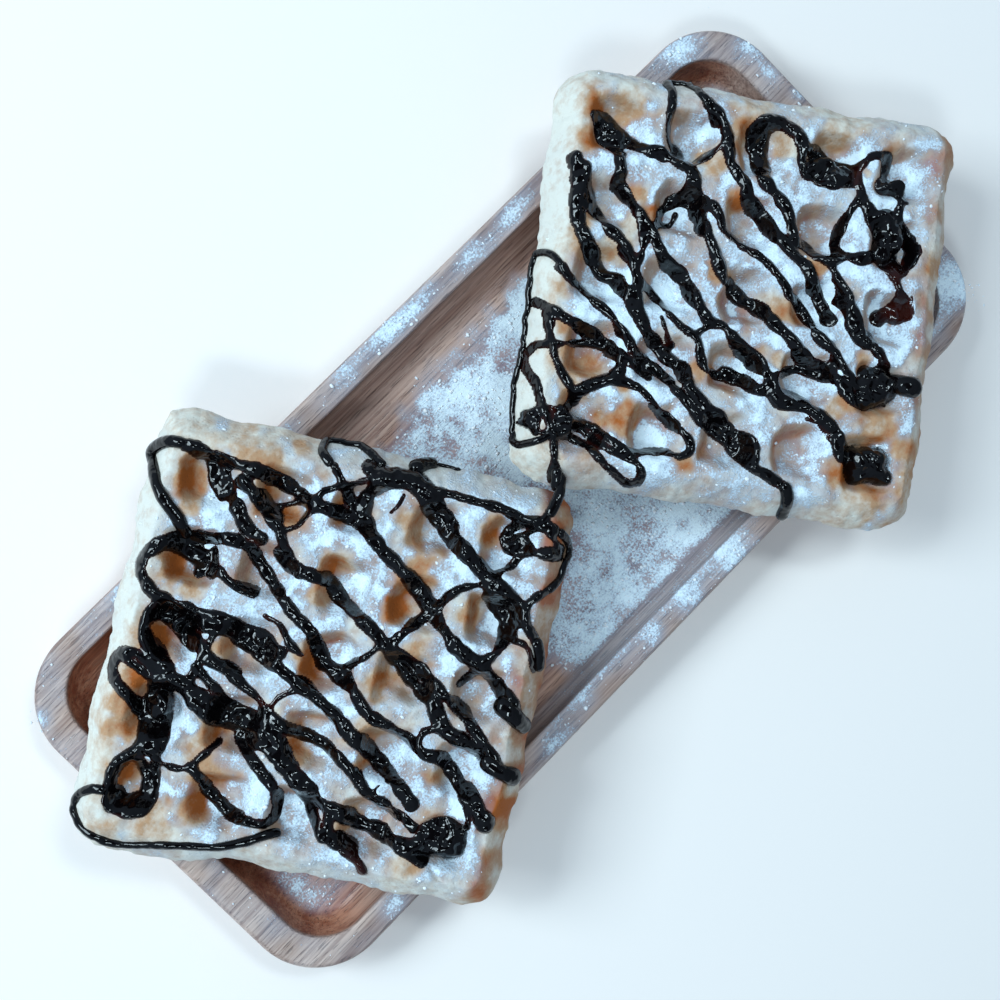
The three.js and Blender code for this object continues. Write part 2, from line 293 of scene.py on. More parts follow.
def close_seams(piece):
    """Merges points that coincide, drops faces without area, and turns all faces outwards."""
    shape = bmesh.new()
    shape.from_mesh(piece.data)
    bmesh.ops.remove_doubles(shape, verts=shape.verts, dist=1e-6)
    bmesh.ops.dissolve_degenerate(shape, edges=shape.edges, dist=1e-7)
    bmesh.ops.recalc_face_normals(shape, faces=shape.faces)
    shape.to_mesh(piece.data)
    shape.free()


def paint(piece, name, values):
    """Stores one number for each vertex of a piece, for its material to read."""
    layer = piece.data.attributes.new(name, "FLOAT", "POINT")
    layer.data.foreach_set("value", np.asarray(values, np.float32).ravel())


def places(piece):
    """The piece's vertices, in millimetres, as three arrays."""
    flat = np.zeros(len(piece.data.vertices) * 3, np.float32)
    piece.data.vertices.foreach_get("co", flat)
    return (flat.reshape(-1, 3) / MM).T.astype(float)


# Where sugar drifts lie on the rim and in the corners of the floor, and where the floor is nearly
# bare, as (x, y, half length along x, half length along y) or with how thick or bare first.
RIM_DRIFTS = [
    (130.8, 60.4, 9, 5), (148, 46, 4, 5), (147, 36, 3, 4), (148.5, 25, 2, 3), (-146, 52, 3, 3),
    (-1, 62, 16, 4), (14, 61, 10, 3), (40, 60, 12, 3), (-2, -60.5, 4, 3), (-31, -59.5, 4, 3),
    (-47, -61.5, 6, 3), (-114, -61, 4, 3), (14, -60, 8, 4), (32, -60, 9, 5), (-41, 61, 10, 3),
    (-104, 61, 7, 3), (141, -50, 8, 8), (60, 61, 8, 3)]
RIM_DRIFT_THICK = 0.52
CORNER_DRIFTS = [(0.6, -133, -38, 6, 9), (0.7, 134, 41, 6, 5), (0.35, -124, -46, 9, 4)]
BARE_FLOOR = [(1.0, -38, -54, 9, 9), (0.7, -24, 40, 12, 8)]


def tray_sugar(x, y, z):
    """How thickly sugar lies on the tray, 0 to 1: dense on the floor between the waffles, thin by
    the far cove, a dusting up the near cove, in drifts along the rim, and none on the outside."""
    inside = eased(np.abs(y), 60, 57)
    on_floor = eased(z, TRAY_FLOOR + 2.5, TRAY_FLOOR + 0.3) * eased(z, 3, 5) * inside
    edge = ripples(x, y, 0, (4.5, 11, 5), (2.5, 4, 6))
    open_floor = eased(y + edge, 47, 37) * eased(x + edge, -42, -22) * eased(x + edge, 118, 90)
    open_floor *= 0.68 + ripples(x, y, 0, (0.17, 10, 7), (0.17, 4.5, 9))
    bare = sum(share * patch(x, y, spot[:2], spot[2:]) for share, *spot in BARE_FLOOR)
    corners = sum(share * patch(x, y, spot[:2], spot[2:]) for share, *spot in CORNER_DRIFTS)
    floor_sugar = on_floor * np.clip(open_floor - bare + corners, 0, 1)
    on_rim = eased(z, TRAY_HEIGHT - 1.2, TRAY_HEIGHT - 0.2)
    drifts = 0.1 + 0.16 * ripple(x, y, 8, 8)
    for spot in RIM_DRIFTS:
        drifts = drifts + RIM_DRIFT_THICK * patch(x, y, spot[:2], spot[2:])
    up_cove = eased(z, TRAY_FLOOR + 0.5, TRAY_FLOOR + 3) * eased(z, 4, 6)
    dusted = 0.3 * up_cove * eased(-y, 40, 52) * eased(-y, 60, 57) * eased(x, -60, -30)
    return np.clip(floor_sugar + dusted + on_rim * np.clip(drifts, 0, 1), 0, 1)


def tray_wear_and_sheen(x, y, z):
    """How far the wood turns grey, 0 to 1, partly from dry wear and partly as a painted sheen where
    it
    faces the light: the rim fully, the near side's cove and the right end's mostly, part of the far
    side's, and the floor's long edges a little."""
    rim = eased(z, TRAY_HEIGHT - 2.5, TRAY_HEIGHT - 0.6)
    cove = eased(z, TRAY_FLOOR + 0.1, TRAY_FLOOR + 2) * eased(z, 4, 6)
    near = eased(-y, 40, 50) * eased(x, -135, -105)
    end = 0.8 * eased(x, 126, 138) * eased(-y, -52, -40)
    far = 0.7 * eased(y, 40, 50) * eased(x, -100, -45) * eased(-x, -120, -95)
    floor = 0.5 * eased(-y, 36, 46) * eased(x, -125, -95)
    floor += 0.75 * eased(y, 28, 44) * eased(x, -70, -25)
    return np.clip(rim + (1 - rim) * (cove * (near + end + far) + (1 - cove) * floor), 0, 1)


# Icing sugar lies as grains, drawn 0.65 mm across, and as clumps of 3.6 mm, both a little coarser
# than they are so that they show.
SUGAR_WHITE = "#e3f3fc"
# The grey is painted shade, for the sugar's hollows and thinner parts.
SUGAR_SHADE_GREY = "#a1b2ca"
SUGAR_GRAIN = 0.65
SUGAR_CLUMP = 3.6
SUGAR_SOLID = (1.82, 2.28)
SUGAR_TONE = (1.95, 2.6)
FILM_FULL = 0.45
FILM_COVER = 0.42


def sugar_over(tree, coat, under, grain):
    """The colour under a sugar coat, where the coat is solid, and its grains: a thin film wherever
    there is any, and over it solid patches, their edges broken up by clumps and grains. Thick
    sugar is white, with painted lilac grey shade where it lies lower and thinner."""
    thick = add(tree, "Attribute", attribute_name=coat).outputs["Fac"]
    fine = add(tree, "TexNoise", {"Vector": grain, "Scale": 1 / SUGAR_GRAIN, "Detail": 2.0,
                                  "Roughness": 0.65})
    coarse = add(tree, "TexNoise", {"Vector": grain, "Scale": 1 / SUGAR_CLUMP, "Detail": 3.0,
                                    "Roughness": 0.6})
    level = add(tree, "Math", {0: thick, 1: 1.5}, operation="MULTIPLY")
    for part, share in ((coarse, 1.1), (fine, 1.6)):
        level = add(tree, "Math", {0: part.outputs["Fac"], 1: share, 2: level.outputs[0]},
                    operation="MULTIPLY_ADD")
    solid = add(tree, "MapRange", {"Value": level.outputs[0], "From Min": SUGAR_SOLID[0],
                                   "From Max": SUGAR_SOLID[1]})
    film = add(tree, "MapRange", {"Value": thick, "From Max": FILM_FULL, "To Max": FILM_COVER})
    mask = add(tree, "Math", {0: solid.outputs[0], 1: film.outputs[0]}, operation="MAXIMUM")
    tone = add(tree, "MapRange", {"Value": level.outputs[0], "From Min": SUGAR_TONE[0],
                                  "From Max": SUGAR_TONE[1]})
    # Painted shade: lower-lying sugar turns lilac grey.
    white_with_shade = add(tree, "Mix", {0: tone.outputs[0], 6: linear(SUGAR_SHADE_GREY), 7: linear(SUGAR_WHITE)},
                data_type="RGBA")
    mixed = add(tree, "Mix", {0: mask.outputs[0], 6: under, 7: white_with_shade.outputs[2]}, data_type="RGBA")
    return mixed.outputs[2], solid.outputs[0], fine.outputs["Fac"]


def place_in(tree, along=1, across=1):
    """Object coordinates in steps of `along` millimetres down the board and `across` over it."""
    place = add(tree, "TexCoord").outputs["Object"]
    scale = (1 / MM / along, 1 / MM / across, 1 / MM / across)
    return add(tree, "Mapping", {"Vector": place, "Scale": scale}).outputs[0]


# Oiled hardwood: grain lines under a millimetre apart and some centimetres long, broad darker
# bands, and short dark pores, so the eye sees fine streaks along the board and spots on its ends.
# Streaks, bands and pores are (length, width) in millimetres.
WOOD_DARK = "#8d4e38"
WOOD_WARM = "#bd8468"
# The worn greys stand for dry wear and for a painted sheen where the rim and coves face the light.
WOOD_WEAR_SHEEN = "#c4ab9f"
WOOD_WEAR_SHEEN_DARK = "#886c62"
STREAKS = (38, 0.9)
BANDS = (90, 5)
PORES = (7, 0.45)
wood, tree, out = finish_of("oiled_hardwood")
in_mm = place_in(tree)
streaks = add(tree, "TexNoise", {"Vector": place_in(tree, *STREAKS), "Scale": 1.0, "Detail": 3.0})
bands = add(tree, "TexNoise", {"Vector": place_in(tree, *BANDS), "Scale": 1.0, "Detail": 2.0})
pores = add(tree, "TexNoise", {"Vector": place_in(tree, *PORES), "Scale": 1.0, "Detail": 1.0})
figure = add(tree, "Math", {0: streaks.outputs["Fac"], 1: bands.outputs["Fac"]}, operation="ADD")
share = add(tree, "MapRange", {"Value": figure.outputs[0], "From Min": 0.78, "From Max": 1.22})
oiled = add(tree, "Mix", {0: share.outputs[0], 6: linear(WOOD_DARK), 7: linear(WOOD_WARM)},
            data_type="RGBA")
# Dry wear and painted sheen: where that mask is high, the board turns to the lighter grey mix.
dry_and_sheen = add(tree, "Mix", {0: share.outputs[0], 6: linear(WOOD_WEAR_SHEEN_DARK), 7: linear(WOOD_WEAR_SHEEN)},
          data_type="RGBA")
wear_and_sheen = add(tree, "Attribute", attribute_name="wear_and_sheen").outputs["Fac"]
board = add(tree, "Mix", {0: wear_and_sheen, 6: oiled.outputs[2], 7: dry_and_sheen.outputs[2]}, data_type="RGBA")
pore = add(tree, "MapRange", {"Value": pores.outputs["Fac"], "From Min": 0.33, "From Max": 0.42,
                              "To Min": 0.55, "To Max": 1.0})
pored = add(tree, "Mix", {0: 1.0, 6: board.outputs[2], 7: pore.outputs[0]}, data_type="RGBA",
            blend_type="MULTIPLY")
coated, coat, fine = sugar_over(tree, "sugar", pored.outputs[2], in_mm)
rough = add(tree, "MapRange", {"Value": coat, "To Min": 0.38, "To Max": 0.95})
relief = add(tree, "Math", {0: streaks.outputs["Fac"], 1: pore.outputs[0]}, operation="ADD")
relief = add(tree, "Math", {0: coat, 1: fine, 2: relief.outputs[0]}, operation="MULTIPLY_ADD")
bump = add(tree, "Bump", {"Height": relief.outputs[0], "Strength": 0.6, "Distance": 0.0003})
shader = add(tree, "BsdfPrincipled", {"Base Color": coated, "Roughness": rough.outputs[0],
                                      "Normal": bump.outputs[0], "IOR": 1.5})
tree.links.new(shader.outputs["BSDF"], out.inputs["Surface"])

points = tray_points()
tray = mesh_piece("tray_board", points.reshape(-1, 3), ring_faces(*points.shape[:2]), wood)
close_seams(tray)
x, y, z = places(tray)
paint(tray, "sugar", tray_sugar(x, y, z))
# The grey of dry wear, with a painted sheen on the rim and on the coves that face the light.
paint(tray, "wear_and_sheen", tray_wear_and_sheen(x, y, z))
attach(tray, "root")
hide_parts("tray")

# ---------------------------------------------------------------------------------------------
# The waffles: batter baked in an iron with five by five pockets a side, both faces alike. The
# crust is pale on the ribs and rim and amber down in the pockets, where painted shade also darkens
# it, and on the walls that face away from the light. It is pored and uneven, and sugar sifted from
# one side whitens what faces that way.
# ---------------------------------------------------------------------------------------------
REST_GAP = 0.3
THICKNESS = 22
SEAM_HALF = 61.5
FACE_HALF = 54.2
CORNER_MIDDLE = 50.5
SIDE_POWER = 1.27
EDGE_WAVE = 0.5
EDGE_WAVE_LENGTH = 29
POCKETS = 5
PITCH = 21.5
MOUTH_HALF = 8.6
POCKET_FLOOR_HALF = 3.9
POCKET_DEPTH = 6.6
POCKET_UNEVEN = 0.13
CRUST_SWELL = 0.55
CRACK_DEPTH = 1.6
CRACK_WIDTH = 0.9
FACE_RINGS = 90
SIDE_RINGS = 20
SIFTED_FROM = (-0.62, 0.14, 0.77)
UNDER_SEED = 50

# Each waffle has its own frame, u and v along its sides. Its phase and seed make it uneven in its
# own way, its bulge is the lobe baked out of one side (middle, half width, reach), its spread is
# how much wider the sauce lies than it was run out, and sifted is how much sugar fell on it. Bare
# spots are (u, v, size, dark) where the crust shows through the sugar, with how darkly it is baked
# there, cracks are (u, v, half length), and rims are (outward u, outward v, share of sugar that
# stays there, how brown it is).
LEFT = {
    "name": "left", "middle": (-74.6, 5.4), "turn": -57.6, "phase": 0.6, "seed": 100,
    "bulge": (-42, 20, 3.6), "spread": 1.13, "sifted": 0.52,
    "rims": [(-1, 0, 0.15, 0.0), (0, 1, 0.7, 0.1), (1, 0, 0.35, 0.75), (0, -1, 0.6, 0.1)],
    "bare": [(-48, 42, 6, 0.8), (-45, 34, 4, 0.5), (-27, 44, 4, 0.5), (-20, 38, 5, 0.6),
             (-47, 16, 6, 0.9), (-42, 13, 5, 0.3), (-21, 58, 4, 0.7), (-28, 51, 6, 0.5),
             (-50, 56, 9, 0.1), (-36, 57, 9, 0.2), (-5, 42, 3, 0.6), (-5, 28, 5, 0.5),
             (-7, 17, 4, 0.4), (14, 44, 4, 0.6), (17, 30, 6, 0.4), (15, 18, 4, 0.8),
             (37, 44, 5, 0.6), (36, 23, 4, 0.6), (22, 8, 5, 0.4), (14, -2, 4, 0.5),
             (-48, -3, 5, 0.9), (-51, -14, 5, 0.8), (-54, -22, 5, 0.6), (-53, -29, 6, 0.7),
             (-56, -37, 7, 0.2), (-47, -41, 4, 1.0), (-28, -46, 4, 0.8), (-38, -50, 7, 0.2),
             (-50, -55, 7, 0.3), (-29, -25, 4, 0.5), (-6, -25, 5, 0.7), (-6, -1, 4, 0.8),
             (-30, -2, 4, 0.5), (-25, -37, 6, 0.3), (-13, -16, 4, 0.4), (14, -17, 4, 0.4),
             (14, -27, 3, 0.6), (36, -25, 4, 0.5), (14, -43, 4, 0.6), (35, -50, 4, 0.3),
             (57, -30, 6, 0.3)],
    "cracks": [(42.5, -52.5, 2.2)],
}
RIGHT = {
    "name": "right", "middle": (84.2, -5.2), "turn": -52.6, "phase": 2.3, "seed": 200,
    "bulge": (38, 16, 0.8), "spread": 1.06, "sifted": 0.60,
    "rims": [(-1, 0, 0.1, 0.0), (0, 1, 0.6, 0.1), (1, 0, 0.4, 0.5), (0, -1, 0.8, 0.2)],
    "bare": [(-51, 48, 4, 0.7), (-52, 38, 4, 0.7), (-40, 52, 8, 0.0), (-34, 24, 4, 0.6),
             (-30, 20, 4, 0.8), (-13, 37, 5, 0.5), (-7, 48, 5, 0.7), (-6, 27, 4, 0.6),
             (-40, 9, 5, 0.4), (-52, 9, 5, 0.3), (-36, 16, 4, 0.3), (-10, 4, 4, 0.6),
             (-5, 57, 7, 0.3), (8, 46, 5, 0.4), (22, 56, 8, 0.2), (20, 12, 4, 0.6),
             (32, 41, 3, 0.5), (57, 20, 7, 0.3), (-53, -6, 4, 0.6), (-51, -17, 4, 0.7),
             (-54, -25, 4, 0.6), (-43, -26, 7, 0.2), (-48, -33, 4, 0.3), (-32, -40, 6, 0.6),
             (-33, -31, 3, 0.6), (-11, -23, 4, 0.6), (-12, -50, 3, 0.6), (-55, -55, 8, 0.0),
             (12, -3, 5, 0.4), (12, -17, 4, 0.4), (38, -14, 4, 0.3), (33, -27, 4, 0.6),
             (34, -47, 5, 0.8), (45, -31, 7, 0.3), (53, -38, 5, 0.3), (57, -45, 7, 0.4),
             (45, -57, 7, 0.2)],
    "cracks": [(-46, -56, 3.0)],
}


def reach_of(u, v):
    """How far out a place is: the larger of |u| and |v|, and round the corners the distance from
    the corner's middle added to that middle's own place."""
    over_u = np.maximum(np.abs(u) - CORNER_MIDDLE, 0)
    over_v = np.maximum(np.abs(v) - CORNER_MIDDLE, 0)
    return np.where((over_u > 0) | (over_v > 0), CORNER_MIDDLE + np.hypot(over_u, over_v),
                    np.maximum(np.abs(u), np.abs(v)))


def pocket_depth(u, v, phase):
    """Depth below the ribs: from each pocket's middle the fourth-power distance runs through an
    eased wall from the mouth down to the floor, and each pocket is a little deeper or shallower."""
    limit = (POCKETS - 1) // 2
    column = np.clip(np.round(u / PITCH), -limit, limit)
    row = np.clip(np.round(v / PITCH), -limit, limit)
    across = ((u - column * PITCH) ** 4 + (v - row * PITCH) ** 4) ** 0.25
    uneven = 1 + POCKET_UNEVEN * np.sin(3.1 * column + 1.7 * row + phase)
    return eased(-across, -MOUTH_HALF, -POCKET_FLOOR_HALF) * POCKET_DEPTH * uneven


def crust_height(u, v, waffle):
    """Height of the upper crust above the waffle's underside: flat ribs with a slow swell and small
    lumps, less the pockets, and sides that fall from the face to the seam at half the thickness
    along the curve a^p + b^p = 1."""
    phase, seed = waffle["phase"], waffle["seed"]
    reach = reach_of(u, v)
    inner = eased(-reach, -FACE_HALF - 1, -FACE_HALF + 6)
    swell = CRUST_SWELL * np.sin(u / 19 + phase) * np.sin(v / 23 + 2 * phase)
    wander_u = u + ripples(u, v, seed, (1.0, 11, 1), (0.7, 4.5, 14))
    wander_v = v + ripples(u, v, seed, (1.0, 11, 2), (0.7, 4.5, 15))
    lumps = ripples(u, v, seed, (0.5, 6.5, 3), (0.28, 2.8, 4))
    face = THICKNESS + inner * swell - pocket_depth(wander_u, wander_v, phase)
    out = np.clip((reach - FACE_HALF) / (SEAM_HALF - FACE_HALF), 0, 1)
    side = THICKNESS / 2 * (1 + (1 - out ** SIDE_POWER) ** (1 / SIDE_POWER))
    for middle_u, middle_v, half in waffle["cracks"]:
        middle = (middle_u - middle_v, middle_u + middle_v)
        face = face - CRACK_DEPTH * patch(u - v, u + v, middle, (half * 2, CRACK_WIDTH))
    return np.where(reach > FACE_HALF, side, face) + lumps * (1 - 0.6 * out)


def baked(u, v, waffle):
    """The uneven outline: a slow wave along all four sides, and a lobe baked out of one."""
    turns = 2 * math.pi / EDGE_WAVE_LENGTH
    phase = waffle["phase"]
    lobe_middle, lobe_width, lobe_reach = waffle["bulge"]
    seed = waffle["seed"]
    ragged = ripples(u, v, seed, (0.5, 5, 12), (0.3, 1.9, 13))
    out_u = (u / SEAM_HALF) ** 3 * (EDGE_WAVE * np.sin(v * turns + phase) + ragged)
    out_v = (v / SEAM_HALF) ** 3 * (EDGE_WAVE * np.sin(u * turns + 2 * phase) + ragged)
    lobe = lobe_reach * np.exp(-((u - lobe_middle) / lobe_width) ** 2)
    return u + out_u, v + out_v - lobe * np.clip(-v / SEAM_HALF, 0, 1) ** 4


def set_down(u, v, height, waffle):
    """Turns and moves places from a waffle's own frame to where it lies on the tray's rim."""
    turn = math.radians(waffle["turn"])
    x = waffle["middle"][0] + u * math.cos(turn) - v * math.sin(turn)
    y = waffle["middle"][1] + u * math.sin(turn) + v * math.cos(turn)
    return np.stack([x, y, TRAY_HEIGHT + REST_GAP + height], -1)


def crust_plan():
    """Places of the crust's square grid: even steps across the face and, past its edge, steps down
    the side, with each square ring's corners pulled in to quarter circles."""
    face = FACE_HALF * np.arange(FACE_RINGS + 1) / FACE_RINGS
    angle = math.pi / 2 * np.arange(1, SIDE_RINGS + 1) / SIDE_RINGS
    side = FACE_HALF + (SEAM_HALF - FACE_HALF) * np.sin(angle) ** (2 / SIDE_POWER)
    half = np.concatenate([face, side])
    rings = FACE_RINGS + SIDE_RINGS
    index = np.arange(-rings, rings + 1)
    column, row = np.meshgrid(index, index, indexing="ij")
    ring = np.maximum(np.abs(column), np.abs(row))
    u = column / np.maximum(ring, 1) * half[ring]
    v = row / np.maximum(ring, 1) * half[ring]
    over_u = np.maximum(np.abs(u) - CORNER_MIDDLE, 0)
    over_v = np.maximum(np.abs(v) - CORNER_MIDDLE, 0)
    both = (over_u > 0) & (over_v > 0)
    straight = np.maximum(np.hypot(over_u, over_v), 1e-9)
    pull = np.where(both, np.maximum(over_u, over_v) / straight, 1)
    u = np.where(both, np.sign(u) * (CORNER_MIDDLE + over_u * pull), u)
    v = np.where(both, np.sign(v) * (CORNER_MIDDLE + over_v * pull), v)
    return u, v, ring


def crust_looks(u, v, height, waffle):
    """How thickly sugar lies, and how brown the crust is, each 0 to 1. Sugar needs a slope that
    faces the side it was sifted from, and thins out on the bare spots. The brown is partly baked
    colour, mottled and darkest on the baked spots, and partly painted shade: it grows with the
    depth below the ribs and on the walls that face away from the light, which comes from the
    sifting side."""
    step = 0.6
    slope_u = (crust_height(u + step, v, waffle) - crust_height(u - step, v, waffle)) / (2 * step)
    slope_v = (crust_height(u, v + step, waffle) - crust_height(u, v - step, waffle)) / (2 * step)
    facing = SIFTED_FROM[2] - slope_u * SIFTED_FROM[0] - slope_v * SIFTED_FROM[1]
    facing = facing / np.sqrt(1 + slope_u ** 2 + slope_v ** 2)
    seed = waffle["seed"]
    bare, baked_dark = 0 * u, 0 * u
    for middle_u, middle_v, size, dark in waffle["bare"]:
        half = size * (0.85 + ripples(u, v, seed, (0.45, 4, 16), (0.2, 1.8, 23)))
        spot = patch(u, v, (middle_u, middle_v), (half, half))
        bare = np.maximum(bare, spot)
        baked_dark = np.maximum(baked_dark, spot * dark)
    drift = waffle["sifted"] + ripples(u, v, seed, (0.26, 9, 5), (0.24, 4.2, 6), (0.12, 2, 7))
    caught = eased(facing + ripples(u, v, seed, (0.3, 8, 17), (0.15, 3, 18)), 0.05, 0.7)
    sugar = drift * (0.3 + 0.8 * caught) - 1.05 * bare
    reach = reach_of(u, v)
    depth = np.clip((THICKNESS - height) / POCKET_DEPTH, 0, 1) * (reach < FACE_HALF)
    # Painted shade: the crust is drawn browner the deeper it lies below the ribs and on the walls
    # that face away from the light.
    brown = 0.26 + 0.12 * depth + 0.16 * (1 - caught) * (reach < FACE_HALF)
    brown += ripples(u, v, seed, (0.16, 7, 8), (0.1, 2.6, 9))
    brown = brown * (0.2 + 0.8 * eased(-reach, -57, -50)) + 0.55 * baked_dark
    for out_u, out_v, kept, tanned in waffle["rims"]:
        at_rim = eased(u * out_u + v * out_v + 2.5 * ripple(u, v, 7, seed + 19), 48, 55)
        sugar = sugar * (1 - at_rim * (1 - kept))
        brown = brown + at_rim * tanned * (0.6 + 0.6 * ripple(u, v, 5, seed + 22))
    return np.clip(sugar, 0, 1), np.clip(brown, 0, 1)


def crust(waffle, material):
    """The closed crust: the grid's upper sheet and a lower one with the same pockets, joined at the
    seam, where both meet at half the thickness."""
    u, v, ring = crust_plan()
    rings = FACE_RINGS + SIDE_RINGS
    top = np.where(ring == rings, THICKNESS / 2, crust_height(u, v, waffle))
    mirror = dict(waffle, seed=waffle["seed"] + UNDER_SEED, cracks=[])
    under = np.where(ring == rings, THICKNESS / 2, THICKNESS - crust_height(u, v, mirror))
    sugar, brown = crust_looks(u, v, top, waffle)
    seed = waffle["seed"]
    drifts = 0.35 + ripples(u, v, seed, (0.3, 2.4, 20), (0.2, 1.3, 21))
    top = top + np.where(ring < rings, drifts * sugar, 0)
    out_u, out_v = baked(u, v, waffle)
    side = ring.shape[0]
    upper = np.arange(side * side).reshape(side, side)
    inside = ring < rings
    lower = upper.copy()
    lower[inside] = side * side + np.arange(inside.sum())
    points = np.concatenate([set_down(out_u, out_v, top, waffle).reshape(-1, 3),
                             set_down(out_u, out_v, under, waffle)[inside]])
    faces = [np.stack([sheet[:-1, :-1], sheet[1:, :-1], sheet[1:, 1:], sheet[:-1, 1:]], -1)
             .reshape(-1, 4) for sheet in (upper, lower)]
    faces[1] = faces[1][:, ::-1]
    piece = mesh_piece("crust_" + waffle["name"], points, np.concatenate(faces), material)
    paint(piece, "sugar", np.concatenate([sugar.ravel(), 0 * sugar[inside]]))
    in_pocket = (under > 2) * (ring < FACE_RINGS)
    under_brown = 0.45 + 0.2 * ripple(u, v, 8, seed + 11) + 0.3 * in_pocket
    # The brown stored here includes painted shade in the pockets and on the walls that face away
    # from the light.
    paint(piece, "browned_and_shaded", np.concatenate([brown.ravel(), under_brown[inside]]))
    return piece


# Baked batter: matte and porous, cream where it is hardly baked, through golden to amber brown,
# the brown partly painted shade in the pockets and on the walls that face away from the light.
# Small pores, drawn 1.6 mm apart, and a fine crumb roughen it, and its browning is mottled.
CRUST_PALE = "#dedbd0"
CRUST_GOLD = "#b8906e"
CRUST_AMBER = "#a8591f"
PORE = 1.6
MOTTLE = 3.2
crust_finish, tree, out = finish_of("baked_batter")
in_mm = place_in(tree)
mottle = add(tree, "TexNoise", {"Vector": in_mm, "Scale": 1 / MOTTLE, "Detail": 5.0,
                                "Roughness": 0.65})
browned_and_shaded = add(tree, "Attribute", attribute_name="browned_and_shaded").outputs["Fac"]
stain = add(tree, "Math", {0: mottle.outputs["Fac"], 1: 0.8, 2: browned_and_shaded}, operation="MULTIPLY_ADD")
first = add(tree, "MapRange", {"Value": stain.outputs[0], "From Min": 0.45, "From Max": 0.85})
second = add(tree, "MapRange", {"Value": stain.outputs[0], "From Min": 0.88, "From Max": 1.2})
golden = add(tree, "Mix", {0: first.outputs[0], 6: linear(CRUST_PALE), 7: linear(CRUST_GOLD)},
             data_type="RGBA")
amber = add(tree, "Mix", {0: second.outputs[0], 6: golden.outputs[2], 7: linear(CRUST_AMBER)},
            data_type="RGBA")
coated, coat, fine = sugar_over(tree, "sugar", amber.outputs[2], in_mm)
pits = add(tree, "TexVoronoi", {"Vector": in_mm, "Scale": 1 / PORE})
pit = add(tree, "MapRange", {"Value": pits.outputs["Distance"], "From Min": 0.0, "From Max": 0.35})
crumb = add(tree, "Math", {0: pit.outputs[0], 1: 0.5, 2: mottle.outputs["Fac"]},
            operation="MULTIPLY_ADD")
relief = add(tree, "Math", {0: coat, 1: fine, 2: crumb.outputs[0]}, operation="MULTIPLY_ADD")
bump = add(tree, "Bump", {"Height": relief.outputs[0], "Strength": 0.6, "Distance": 0.0004})
shader = add(tree, "BsdfPrincipled", {"Base Color": coated, "Roughness": 0.78, "IOR": 1.4,
                                      "Normal": bump.outputs[0]})
tree.links.new(shader.outputs["BSDF"], out.inputs["Surface"])

for waffle in (LEFT, RIGHT):
    piece = crust(waffle, crust_finish)
    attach(piece, "root")
    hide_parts("waffle_" + waffle["name"])

# ---------------------------------------------------------------------------------------------
# The sauce: thick chocolate sauce run out of a bottle in a quick zigzag. It lies in rounded beads
# that sag into the pockets, run together where they cross, and end in drops.
# ---------------------------------------------------------------------------------------------
SAUCE_CELL = 0.42
SAUCE_AREA = 64
BEAD_RISE = 0.78
BEAD_SLUMP = 5.0
BEAD_ROUND = 0.6
RUN_TOGETHER = 3.0
SINK = 0.3
POOL_SUNK = 0.7
POOL_DOME = 0.9
POOL_EDGE = 2.4
BACK_SUNK = 0.55
LEAST_THICK = 0.2
TRACED_HEIGHT = 38.5
SAUCE_MIDDLE = 1.0
PATH_STEP = 0.35
EDGE_PATH_STEP = 0.45
ROUND_POINTS = 14
FLATTENED = 0.85

